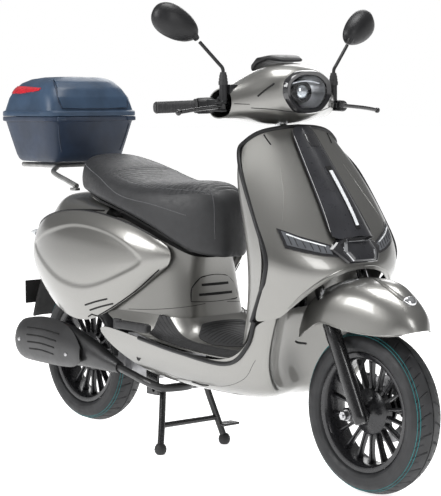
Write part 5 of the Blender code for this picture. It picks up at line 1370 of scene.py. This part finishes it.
def make_case():
    shell = [case_ring(*ring) for ring in ((0.1, 0.12, 0.88), (0.118, 0.138, 0.8815), (0.126, 0.146, 0.889),
        (0.132, 0.153, 0.905), (0.146, 0.168, 0.96), (0.158, 0.18, 1.008), (0.16, 0.182, 1.013),
        (0.1665, 0.1885, 1.0145), (0.168, 0.19, 1.0165), (0.168, 0.19, 1.0275), (0.1665, 0.1885, 1.029),
        (0.156, 0.178, 1.029), (0.154, 0.176, 1.01), (0.12, 0.14, 0.89))]
    base = loft("case_base_looks", shell)
    base_tree = bvh_of(base)
    piece(base, "scooter", "case_blue", CASE_BASE, "case_base")
    shell = [case_ring(*ring) for ring in ((0.06, 0.08, 1.153, -0.006), (0.114, 0.142, 1.128, -0.004),
        (0.142, 0.17, 1.086), (0.158, 0.18, 1.044), (0.16, 0.182, 1.0305), (0.1665, 0.1885, 1.0305),
        (0.168, 0.19, 1.032), (0.168, 0.19, 1.044), (0.1655, 0.188, 1.0465), (0.159, 0.184, 1.049),
        (0.157, 0.1825, 1.056), (0.149, 0.1765, 1.09), (0.137, 0.166, 1.118, -0.002),
        (0.118, 0.148, 1.139, -0.004), (0.09, 0.118, 1.152, -0.005), (0.055, 0.075, 1.1585, -0.006),
        (0.02, 0.03, 1.16, -0.006))]
    lid = loft("case_lid_looks", shell)
    lid_tree = bvh_of(lid)
    piece(lid, "case_lid", "case_blue", CASE_LID, "case_lid")
    front = Vector((-1.0, 0.0, -0.75))
    low = [(0.02, -0.128, 1.058), (0.022, -0.06, 1.056), (0.022, 0.0, 1.056), (0.022, 0.06, 1.056),
           (0.02, 0.128, 1.058)]
    middle = [(0.0, -0.136, 1.09), (0.004, -0.06, 1.094), (0.004, 0.0, 1.095), (0.004, 0.06, 1.094),
              (0.0, 0.136, 1.09)]
    high = [(-0.07, -0.108, 1.14), (-0.06, -0.055, 1.152), (-0.06, 0.0, 1.154), (-0.06, 0.055, 1.152),
            (-0.07, 0.108, 1.14)]
    piece(patch("case_lid_panel", lid_tree, [low, middle, high], front, lift=0.0002, thickness=0.0045,
                steps=(40, 14)), "case_lid", "case_blue", CASE_LID)
    outline = [*low, middle[-1], *reversed(high), middle[0], low[0]]
    piece(line_on("case_panel_gap", lid_tree, outline, front, 0.0022, 0.0002, 8, 5), "case_lid",
          "case_blue", CASE_BASE)
    for sign, word in SIDES:
        reflector = [[(-0.25, 0.17 * sign, 1.104), (-0.17, 0.17 * sign, 1.104),
                      (-0.07, 0.17 * sign, 1.113)],
                     [(-0.245, 0.17 * sign, 1.128), (-0.17, 0.17 * sign, 1.127),
                      (-0.065, 0.17 * sign, 1.121)]]
        piece(patch(f"case_reflector_{word}", lid_tree, reflector, Vector((0.15, -sign, 0.0)), lift=0.0004,
                    thickness=0.0026, steps=(24, 8)), "case_lid", "lens_red", RED)
        lug = rounded_box("lug", (0.0265, 0.14 * sign - 0.016, 1.015),
                          (0.0345, 0.14 * sign + 0.016, 1.0285), 0.0025)
        piece(lug, "scooter", "case_blue", CASE_RIM)
        lug.name = f"case_hinge_{word}"
        rib = [(0.3, 0.118 * sign, 0.915), (0.3, 0.132 * sign, 0.96), (0.3, 0.142 * sign, 1.005)]
        piece(line_on(f"case_rib_{word}", base_tree, rib, INWARD, 0.0022, 0.0, 8, 8), "scooter",
              "case_blue", CASE_BASE)
    lamp = [[(-0.4, 0.075, 0.982), (-0.4, -0.075, 0.982)], [(-0.4, 0.078, 1.003), (-0.4, -0.078, 1.003)]]
    piece(patch("case_rear_reflector", base_tree, lamp, FORWARD, lift=0.0004, thickness=0.0025,
                steps=(20, 6)), "scooter", "lens_red", RED)
    lock = turned("case_lock_looks", [(0, 0.0044), (0.0045, 0.0044), (0.0063, 0.0038), (0.0065, 0.0)],
                  (-0.291, 0.0, 1.038), (-1, 0, 0), 40, False)
    slot = rounded_box("slot", (-0.2956, -0.0008, 1.0345), (-0.2944, 0.0008, 1.0415), 0.0002, 1)
    piece(joined("case_lock_barrel", [lock, slot]), "case_lock", "bright_steel", STEEL, "case_lock")


make_rack()
make_case()


# ---- headset, lamp, instruments ---------------------------------------------------------------------
HEADSET = [
    (0.0, [(1.06, 1.172), (1.066, 1.105), (1.052, 1.04), (0.965, 1.004), (0.866, 1.012), (0.828, 1.068),
           (0.86, 1.14), (0.955, 1.204)]),
    (0.07, [(1.052, 1.166), (1.06, 1.105), (1.046, 1.044), (0.962, 1.008), (0.866, 1.014), (0.83, 1.068),
            (0.86, 1.136), (0.952, 1.196)]),
    (0.108, [(1.028, 1.15), (1.038, 1.102), (1.026, 1.05), (0.955, 1.018), (0.866, 1.022), (0.834, 1.068),
             (0.862, 1.124), (0.944, 1.174)]),
    (0.15, [(0.978, 1.126), (0.992, 1.088), (0.978, 1.044), (0.93, 1.026), (0.864, 1.03), (0.842, 1.068),
            (0.864, 1.112), (0.915, 1.14)]),
    (0.196, [(0.944, 1.112), (0.958, 1.076), (0.944, 1.038), (0.905, 1.028), (0.862, 1.032),
             (0.842, 1.068), (0.862, 1.104), (0.905, 1.12)]),
]
LAMP_Z = 1.104
LAMP_HALF_Y = 0.08
LAMP_HALF_Z = 0.056


def lamp_loop(x, scale, bulge=0.0):
    """The lamp's outline, a wide rounded shield, square to x. bulge brings its middle forwards."""
    points = []
    for k in range(48):
        a = 2 * math.pi * k / 48
        y = LAMP_HALF_Y * rounded(math.cos(a), 0.72)
        z = LAMP_HALF_Z * rounded(math.sin(a), 0.8)
        y *= 1.0 - 0.22 * smoothstep(0.0, -LAMP_HALF_Z, z) - 0.16 * smoothstep(0.025, LAMP_HALF_Z, z)
        points.append(Vector((x + bulge * (1 - (y / LAMP_HALF_Y) ** 2), y * scale, LAMP_Z + z * scale)))
    return points


def make_headset():
    stations = [(-y, loop) for y, loop in reversed(HEADSET[1:])] + HEADSET
    rows = [[(x, y, z) for x, z in loop] for y, loop in stations]
    shell = surface("headset_looks", rows, mirror=False, closed=True)
    carved(shell, loft("lamp_hole", [lamp_loop(0.985, 1.06), lamp_loop(1.12, 1.06)]))
    tidy(shell, 35.0)
    tree = bvh_of(shell)
    piece(shell, "steering", "body_silver", PAINT, "headset_cover")
    rings = [lamp_loop(*ring) for ring in ((1.03, 1.08), (1.056, 1.09, 0.002), (1.0625, 1.04, 0.003),
        (1.059, 0.86, 0.003), (1.03, 0.83), (1.01, 0.8))]
    piece(tidy(grid_object("lamp_bezel", rings, closed=True)), "steering", "gloss_black", GLOSS)
    bowl = [lamp_loop(*ring) for ring in ((1.052, 0.85, 0.003), (1.04, 0.8), (1.022, 0.68), (1.012, 0.52),
        (1.01, 0.02))]
    piece(tidy(grid_object("lamp_bowl", bowl, closed=True)), "steering", "bright_steel", STEEL)
    centre = Vector((1.014, 0.0, LAMP_Z))
    ring = turned("projector_ring", [(0.0255, 0.0), (0.0305, 0.0), (0.0305, 0.022), (0.0285, 0.025),
                                     (0.0255, 0.021)], centre, FORWARD, 48)
    piece(ring, "steering", "satin_black", SATIN_AND_SHADOW)
    ball = turned("projector_lens", [(0.0255, 0.01), (0.0235, 0.016), (0.018, 0.0215), (0.009, 0.025),
                                     (0.0, 0.026)], centre, FORWARD, 48, False)
    piece(ball, "steering", "lens_clear", REFLECTOR)
    guide = [Vector((1.046, y, LAMP_Z + 0.031 - 0.01 * (y / 0.06) ** 2))
             for y in (-0.05, -0.025, 0.0, 0.025, 0.05)]
    piece(tube("lamp_guide", smooth_path(guide, 8), 0.0022, 10), "steering", "lens_clear", GUIDE)
    lens = [lamp_loop(*ring) for ring in ((1.048, 0.855, 0.003), (1.058, 0.85, 0.004), (1.0625, 0.8, 0.005),
        (1.0645, 0.5, 0.004), (1.065, 0.12, 0.004))]
    cover = grid_object("headlight_glass", lens, closed=True, caps=False)
    thicken(cover, 0.0014)
    piece(tidy(cover), "steering", "lens_clear", GLASS, "headlight_lens")
    for name, radius, line in (
            ("slit", 0.0026, [(1.02, 0.104, 1.128), (1.01, 0.124, 1.11), (0.99, 0.14, 1.092)]),
            ("lip", 0.0011,
             [(1.06, 0.008, 1.046), (1.05, 0.06, 1.05), (1.03, 0.104, 1.056), (0.98, 0.15, 1.06)]),
            ("split", 0.001, [(0.98, 0.155, 1.07), (0.95, 0.19, 1.072)])):
        line_pair(f"headset_{name}", tree, line, INWARD, radius, "steering", "satin_black", SEAM_AND_SHADOW)


def make_instruments():
    loops = []
    for x, half, low, high in ((0.988, 0.03, 1.19, 1.1945), (0.98, 0.046, 1.1895, 1.201),
                               (0.95, 0.064, 1.193, 1.2105), (0.905, 0.066, 1.179, 1.2065),
                               (0.878, 0.06, 1.16, 1.19), (0.8755, 0.05, 1.161, 1.188)):
        middle = (low + high) / 2
        loops.append([Vector((x, half * rounded(math.cos(a), 0.6),
                              middle + (high - low) / 2 * rounded(math.sin(a), 0.6))) for a in around(40)])
    hood = loft("instrument_hood", loops)
    piece(hood, "steering", "gloss_black", SATIN_AND_SHADOW, "instrument_cluster")
    tilt = Matrix.Rotation(math.radians(38.0), 4, "Y").inverted()
    turn = Matrix.Translation((0.8885, 0.0, 1.1935)) @ tilt
    dial = rounded_box("instrument_glass", (-0.017, -0.052, 0.0), (0.01, 0.052, 0.0035), 0.0015, 2, turn)
    piece(dial, "steering", "gloss_black", GLOSS)


make_headset()
make_instruments()


# ---- mirrors, grips, levers, switches -----------------------------------------------------------------
MIRROR_BASE = Vector((0.935, 0.211, 1.128))
MIRROR_TOP = Vector((0.918, 0.288, 1.249))
MIRROR_SIZE = 0.965
GRIP_START = Vector((0.878, 0.195, 1.068))
GRIP_END = Vector((0.818, 0.36, 1.062))
LEVER_PIVOT = Vector((0.948, 0.226, 1.064))


def make_mirrors():
    boot = turned("boot", [(0, -0.004), (0.0132, -0.004), (0.0135, 0.006), (0.0118, 0.009), (0.0126, 0.013),
                           (0.0108, 0.017), (0.0114, 0.021), (0.0095, 0.026), (0.0085, 0.032), (0, 0.033)],
                  MIRROR_BASE, UP, 40, False)
    both_sides(boot, "mirror_stem_{}", "rubber_black", RUBBER)
    path = [MIRROR_BASE + UP * 0.02, (0.935, 0.213, 1.17), (0.932, 0.228, 1.187),
            MIRROR_TOP - Vector((-0.001, 0.006, 0.006))]
    stem = tube("mirror_rod", smooth_path(path, 10), 0.005, 20)
    both_sides(stem, "mirror_stem_{}", "satin_black", SATIN_AND_SHADOW, "mirror_stem_{}")
    out = Vector((-0.18, 0.86, 0.46)).normalized()
    up = Vector((0.97, 0.2, 0.0)).cross(out).normalized()
    face = out.cross(up)
    centre = MIRROR_TOP + out * 0.072 + UP * 0.012

    def egg(depth, size, grow=0.0):
        size *= MIRROR_SIZE
        ring = []
        for k in range(64):
            a = 2 * math.pi * k / 64
            wide = 0.047 + 0.008 * math.sin(a)
            ring.append(centre + face * depth + up * ((wide * size + grow) * rounded(math.cos(a), 0.92))
                        + out * ((0.078 * size + grow) * rounded(math.sin(a), 0.92)))
        return ring

    rings = [egg(*ring) for ring in ((-0.0165, 0.86), (-0.0195, 0.905), (-0.02, 0.945), (-0.018, 0.975),
        (-0.013, 0.985), (-0.004, 0.975), (0.006, 0.9), (0.014, 0.765), (0.0205, 0.585), (0.0245, 0.385),
        (0.026, 0.12))]
    neck_base = MIRROR_TOP + out * 0.0015
    neck = rod("neck", neck_base, neck_base + Vector((-0.004, 0.022, 0.026)), 0.0085, 32, 0.015, 0.002)
    head = joined("mirror_shell", [loft("shell", rings), neck])
    both_sides(head, "mirror_head_{}", "satin_black", SATIN_AND_SHADOW, "mirror_head_{}")
    glass = loft("glass", [egg(-0.0188, 0.87), egg(-0.0192, 0.88), egg(-0.018, 0.885)])
    glass.name = "mirror_glass"
    both_sides(glass, "mirror_head_{}", "bright_steel", MIRROR_GLASS)


def along_bar(distance, side):
    """A point of the grip's axis, from its inner end to its outer end."""
    start, end = (GRIP_START, GRIP_END) if side > 0 else (flip_y(GRIP_START), flip_y(GRIP_END))
    return start + (end - start).normalized() * distance


def make_grips():
    for side, word, body, old in ((1, "left", "steering", "grip_left"),
                                  (-1, "right", "throttle", "throttle_grip")):
        start = along_bar(0.056, side)
        axis = along_bar(1.0, side) - along_bar(0.0, side)
        profile = [(0.0122, 0.0), (0.0195, 0.0), (0.0205, 0.002), (0.0195, 0.0045), (0.0168, 0.006)]
        for k in range(22):
            at = 0.009 + k * 0.0047
            profile += [(0.0158, at), (0.0166, at + 0.001), (0.0166, at + 0.003), (0.0158, at + 0.004)]
        profile += [(0.0168, 0.1145), (0.0168, 0.1185), (0.015, 0.1203), (0.0122, 0.1203)]
        grip = turned(f"grip_{word}_looks", profile, start, axis, 48)
        piece(grip, body, "rubber_black", RUBBER, old)
        tip = along_bar(0.1768, side)
        # The weight's end stays inside the width of the CAD's handlebar.
        cap = rod(f"bar_end_{word}", tip, tip + axis.normalized() * 0.0022, 0.014, 40, edge=0.0008)
        piece(cap, "steering", "satin_black", SATIN_AND_SHADOW)


def make_housings():
    for side, word in SIDES:
        axis = along_bar(1.0, side) - along_bar(0.0, side)
        profile = [(0.012, 0.0), (0.0205, 0.0), (0.0228, 0.004), (0.0232, 0.02), (0.0226, 0.046),
                   (0.0205, 0.05), (0.012, 0.05)]
        shell = turned("shell", profile, along_bar(0.004, side), axis, 48)
        base = MIRROR_BASE if side > 0 else flip_y(MIRROR_BASE)
        inner, outer = sorted((0.216 * side, 0.236 * side))
        near, far = sorted((0.199 * side, 0.2315 * side))
        parts = [shell, rounded_box("ear_low", (0.925, inner, 1.05), (0.957, outer, 1.0562), 0.002),
                 rounded_box("ear_high", (0.925, inner, 1.0718), (0.957, outer, 1.078), 0.002),
                 rounded_box("perch", (0.875, near, 1.05), (0.932, far, 1.084), 0.006, 4),
                 rod("post", (base.x, base.y, 1.0785), base - UP * 0.0005, 0.011, 32),
                 rounded_box("arm", (0.915, base.y - 0.008, 1.0705), (0.94, base.y + 0.008, 1.092), 0.003)]
        piece(joined(f"switch_housing_{word}_looks", parts), "steering", "satin_black", SATIN_AND_SHADOW,
              f"switch_housing_{word}")
    tank = rounded_box("tank", (0.905, -0.197, 1.098), (0.948, -0.165, 1.126), 0.004, 3)
    piece(joined("brake_reservoir", [tank]), "steering", "satin_black", SATIN_AND_SHADOW)


def make_levers():
    reach = [LEVER_PIVOT, (0.952, 0.25, 1.063), (0.953, 0.32, 1.057), (0.948, 0.372, 1.0505)]
    blade = tube("blade", smooth_path(reach, 10), 0.0066, 16, flat=0.68)
    boss = rod("boss", LEVER_PIVOT - UP * 0.007, LEVER_PIVOT + UP * 0.007, 0.0095, 32)
    pin = rod("pin", LEVER_PIVOT - UP * 0.0145, LEVER_PIVOT + UP * 0.016, 0.004, 6)
    tip = turned("tip", [(0, -0.0085), (0.0045, -0.0072), (0.0078, -0.0035), (0.0085, 0), (0.0078, 0.0035),
                         (0.0045, 0.0072), (0, 0.0085)], (0.947, 0.38, 1.049), (0.0, 1.0, -0.13), 32, False)
    lever = joined("brake_lever_looks", [blade, boss, pin, tip])
    both_sides(lever, "lever_{}", "bright_steel", STEEL_BLACK, "brake_lever_{}")


make_mirrors()
make_grips()
make_housings()
make_levers()


# ---- exhaust, engine, suspension, stand, pegs, hoses -----------------------------------------------------
def oval(x, y, z, half_y, half_z, count=40):
    """An upright oval, square to x."""
    return [Vector((x, y + half_y * math.cos(a), z + half_z * math.sin(a))) for a in around(count)]


def make_exhaust():
    rings = [oval(*ring) for ring in ((-0.168, -0.158, 0.292, 0.02, 0.03),
        (-0.1675, -0.158, 0.292, 0.026, 0.04), (-0.162, -0.158, 0.293, 0.0325, 0.051),
        (-0.15, -0.158, 0.294, 0.036, 0.058), (-0.085, -0.158, 0.298, 0.039, 0.067),
        (-0.02, -0.158, 0.302, 0.04, 0.07), (0.045, -0.158, 0.3, 0.0395, 0.068),
        (0.11, -0.157, 0.296, 0.038, 0.062), (0.175, -0.156, 0.287, 0.0345, 0.053),
        (0.24, -0.155, 0.276, 0.03, 0.042), (0.3, -0.153, 0.262, 0.023, 0.029),
        (0.35, -0.15, 0.252, 0.017, 0.018))]
    header = [(0.34, -0.15, 0.253), (0.42, -0.152, 0.238), (0.49, -0.15, 0.223), (0.53, -0.125, 0.208),
              (0.545, -0.08, 0.205), (0.543, -0.03, 0.205), (0.52, -0.004, 0.207), (0.515, 0.0, 0.2255)]
    parts = [loft("silencer", rings), tube("pipe", smooth_path(header, 8), 0.012, 20),
             rounded_box("ear", (0.06, -0.142, 0.246), (0.09, -0.1065, 0.268), 0.002),
             rod("outlet", (-0.17, -0.158, 0.276), (-0.15, -0.158, 0.279), 0.0105, 28)]
    piece(joined("muffler_looks", parts), "engine", "black_steel", EXHAUST, "muffler")

    def arc(x, z, half_y, half_z, spread):
        return [Vector((x, -0.158 - half_y * math.cos(a), z + half_z * math.sin(a)))
                for a in (spread * (k / 4 - 1) for k in range(9))]

    rows = [arc(*row) for row in ((-0.176, 0.292, 0.038, 0.054, 1.2), (-0.17, 0.292, 0.045, 0.066, 1.25),
        (-0.14, 0.295, 0.049, 0.073, 1.25), (-0.08, 0.299, 0.051, 0.079, 1.25),
        (-0.02, 0.302, 0.052, 0.082, 1.25), (0.04, 0.3, 0.0515, 0.08, 1.24),
        (0.09, 0.2965, 0.05, 0.076, 1.2), (0.15, 0.29, 0.048, 0.071, 0.95),
        (0.185, 0.284, 0.0465, 0.066, 0.62), (0.205, 0.281, 0.0455, 0.064, 0.4))]
    shield = surface("heat_shield_looks", rows, mirror=False, levels=2)
    tree = bvh_of(shield)
    piece(shield, "engine", "shield_plastic", SHIELD_GREY, "heat_shield")
    for k in range(4):
        z = 0.338 - 0.0225 * k
        start, end = -0.095 + 0.006 * k, 0.09 - 0.01 * k
        path = [(start, -0.3, z), ((start + end) / 2, -0.3, z + 0.002), (end, -0.3, z - 0.004)]
        piece(line_on(f"shield_slot_{k}", tree, path, SPIN, 0.0032, -0.001, 8, 10), "engine", "satin_black",
              SEAM_AND_SHADOW)
    for k, (x, z) in enumerate(((0.132, 0.274), (-0.135, 0.296))):
        spot = laid(tree, (x, -0.207, z), SPIN, 0.0)
        screw = turned(f"shield_screw_{k}", [(0, 0.002), (0.003, 0.002), (0.0034, 0.0032), (0.0058, 0.0026),
                                             (0.0066, 0.0), (0, -0.001)], spot, -SPIN, 28, False)
        piece(screw, "engine", "bright_steel", STEEL)


def make_stand():
    parts = [rod("pivot", (0.485, -0.112, 0.195), (0.485, 0.112, 0.195), 0.0125, 40)]
    for sign in (1, -1):
        leg = [(0.485, 0.085 * sign, 0.195), (0.492, 0.092 * sign, 0.16), (0.51, 0.11 * sign, 0.086),
               (0.525, 0.127 * sign, 0.02)]
        parts.append(tube("leg", smooth_path(leg, 6), 0.0105, 24))
    parts.append(rod("bar", (0.509, -0.11, 0.086), (0.509, 0.11, 0.086), 0.0085, 32))
    parts.append(rounded_box("tang", (0.5, 0.11, 0.06), (0.545, 0.175, 0.068), 0.003, 3))
    piece(joined("stand_looks", parts), "stand", "black_steel", STEEL_BLACK, "center_stand")
    for sign, word in SIDES:
        profile = [(0, 0.0002), (0.0085, 0.0002), (0.0125, 0.0016), (0.0172, 0.0085), (0.0188, 0.017),
                   (0.0172, 0.0255), (0.0125, 0.0325), (0.0085, 0.035), (0, 0.036)]
        foot = turned(f"stand_foot_{word}", profile, (0.525, 0.127 * sign, 0.0), UP, 40, False)
        piece(foot, "stand", "rubber_black", RUBBER)


def make_pegs():
    parts = [rounded_box("arm", (0.418, 0.2145, 0.388), (0.452, 0.2245, 0.42), 0.003, 3),
             rounded_box("pad", (0.445, 0.2135, 0.392), (0.6, 0.2385, 0.416), 0.007, 4)]
    for k in range(12):
        x = 0.462 + 0.011 * k
        parts.append(rounded_box("rib", (x, 0.215, 0.415), (x + 0.0045, 0.237, 0.417), 0.0008, 1))
    peg = joined("peg_looks", parts)
    both_sides(peg, "peg_{}", "rubber_black", RUBBER, "passenger_peg_{}")


def make_shock():
    top, foot = Vector((0.045, 0.118, 0.6)), Vector((-0.02, 0.118, 0.345))
    along = (foot - top).normalized()
    side = along.cross(SPIN).normalized()
    other = along.cross(side)
    start, end = 0.0315, (foot - top).length - 0.0395
    coil = []
    for k in range(7 * 36 + 1):
        a = 2 * math.pi * k / 36
        coil.append(top + along * (start + (end - start) * k / (7 * 36)) + side * (0.0205 * math.cos(a))
                    + other * (0.0205 * math.sin(a)))
    spring = tube("shock_coil", coil, 0.0036, 12)
    piece(spring, "shock_lower", "black_steel", STEEL_BLACK, "shock_spring")
    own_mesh(spring)


BRAKE_HOSE_R = 0.0031  # half of the hose's 6.2 mm width


def make_brake_hose():
    """The run that shows. Both of its ends go into the machine."""
    path = smooth_path([(1.086, -0.074, 0.404), (1.118, -0.094, 0.406), (1.16, -0.104, 0.409)], 8)
    made = tube("brake_hose_looks", path, BRAKE_HOSE_R, 16)
    piece(made, "steering", "rubber_black", RUBBER, "front_brake_hose")


def paint_frame_nodes():
    """The CAD pieces that stay on show get a finish."""
    finish = {"main_frame": (STEEL_BLACK, "black_steel"), "luggage_bucket": (MATT, "satin_black"),
              "fuel_tank": (MATT, "satin_black"), "fuel_cap": (SATIN_AND_SHADOW, "satin_black"),
              "seat_base": (MATT, "satin_black"), "steering_stem": (CHROME, "bright_steel"),
              "handlebar": (STEEL_BLACK, "black_steel"),
              "engine_case": (CAST, "cast_engine"), "cylinder_head": (CAST, "cast_engine"),
              "kick_lever": (STEEL, "bright_steel"), "shock_upper": (SATIN_AND_SHADOW, "satin_black"),
              "shock_lower": (STEEL, "bright_steel"), "horn_button": (SATIN_AND_SHADOW, "satin_black"),
              "starter_button": (RED_BUTTON, "red_plastic"), "turn_switch": (SATIN_AND_SHADOW, "satin_black")}
    for name, (material, slot) in finish.items():
        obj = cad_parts[name]
        obj.data.materials.clear()
        obj.data.materials.append(material)


make_exhaust()
make_stand()
make_pegs()
make_shock()
make_brake_hose()
paint_frame_nodes()


# ---- floor, light and camera ------------------------------------------------------------------------
FLOOR_REACH = 60.0  # far enough that every camera sees it run to the horizon
PAPER = (0.86, 0.86, 0.86)
PAPER_GLOW = 0.82  # lifts the paper to white without washing out the shadow under the machine


def make_stage():
    ends = (-FLOOR_REACH, FLOOR_REACH)
    floor = tidy(grid_object("studio_floor", [[(x, y, 0.0) for y in ends] for x in ends]), 60.0)
    mat = shader("studio_paper", PAPER, 0.75)
    vary_colour(mat, PAPER, 0.99, 1.01, 3.0)
    bsdf = principled(mat)
    bsdf.inputs["Emission Color"].default_value = (1.0, 1.0, 1.0, 1.0)
    bsdf.inputs["Emission Strength"].default_value = PAPER_GLOW
    floor.data.materials.append(mat)


def area_light(name, place, target, size, power, colour=(1.0, 1.0, 1.0)):
    data = bpy.data.lights.new(name, "AREA")
    data.shape = "RECTANGLE"
    data.size, data.size_y = size
    data.energy = power
    data.color = colour
    lamp = in_scene(name, data)
    lamp.location = place
    lamp.rotation_euler = (Vector(target) - Vector(place)).to_track_quat("-Z", "Y").to_euler()


CAMERA_PLACE = Vector((4.0883, -3.3398, 1.0919))
CAMERA_TARGET = Vector((0.0375, 0.0, 0.637))
CAMERA_ROLL = math.radians(-0.25)
CAMERA_LENS = 126.8  # millimetres, on a sensor 36 mm wide


def make_camera():
    back = (CAMERA_PLACE - CAMERA_TARGET).normalized()
    right = UP.cross(back).normalized()
    up = back.cross(right)
    side = right * math.cos(CAMERA_ROLL) + up * math.sin(CAMERA_ROLL)
    top = up * math.cos(CAMERA_ROLL) - right * math.sin(CAMERA_ROLL)
    data = bpy.data.cameras.new("camera")
    data.lens = CAMERA_LENS
    data.sensor_width = 36.0
    data.clip_end = 60.0
    camera = bpy.data.objects.new("camera", data)
    camera.matrix_world = Matrix.Translation(CAMERA_PLACE) @ Matrix((side, top, back)).transposed().to_4x4()
    bpy.context.scene.collection.objects.link(camera)
    bpy.context.scene.camera = camera


# The sine of the height above the horizon, and the brightness there: white behind the object, darker above.
SKY = ((0.0, 1.0), (0.08, 1.0), (0.17, 0.12), (0.75, 0.34))


def make_light():
    world = bpy.data.worlds.new("studio")
    world.use_nodes = True
    sky = world.node_tree.nodes["Background"]
    where = world.node_tree.nodes.new("ShaderNodeTexCoord")
    split = world.node_tree.nodes.new("ShaderNodeSeparateXYZ")
    ramp = world.node_tree.nodes.new("ShaderNodeValToRGB")
    stops = ramp.color_ramp.elements
    stops[0].position, stops[1].position = SKY[0][0], SKY[-1][0]
    for height, _ in SKY[1:-1]:
        stops.new(height)
    for stop, (_, grey) in zip(stops, SKY):
        stop.color = (grey, grey, grey, 1.0)
    world.node_tree.links.new(where.outputs["Generated"], split.inputs["Vector"])
    world.node_tree.links.new(split.outputs["Z"], ramp.inputs["Fac"])
    world.node_tree.links.new(ramp.outputs["Color"], sky.inputs["Color"])
    bpy.context.scene.world = world
    bpy.context.scene.view_settings.view_transform = "Standard"
    area_light("key", (-0.6, -4.4, 3.4), (0.0, 0.0, 0.6), (3.0, 2.2), 190.0)
    area_light("overhead", (0.4, 0.4, 5.0), (0.1, 0.0, 0.4), (2.4, 2.4), 150.0)
    area_light("front", (4.4, -0.4, 2.6), (0.4, 0.0, 0.7), (1.0, 1.6), 35.0)
    area_light("rim", (-2.6, 2.8, 3.0), (0.0, 0.0, 0.8), (2.4, 2.0), 50.0)


make_stage()
make_camera()
make_light()
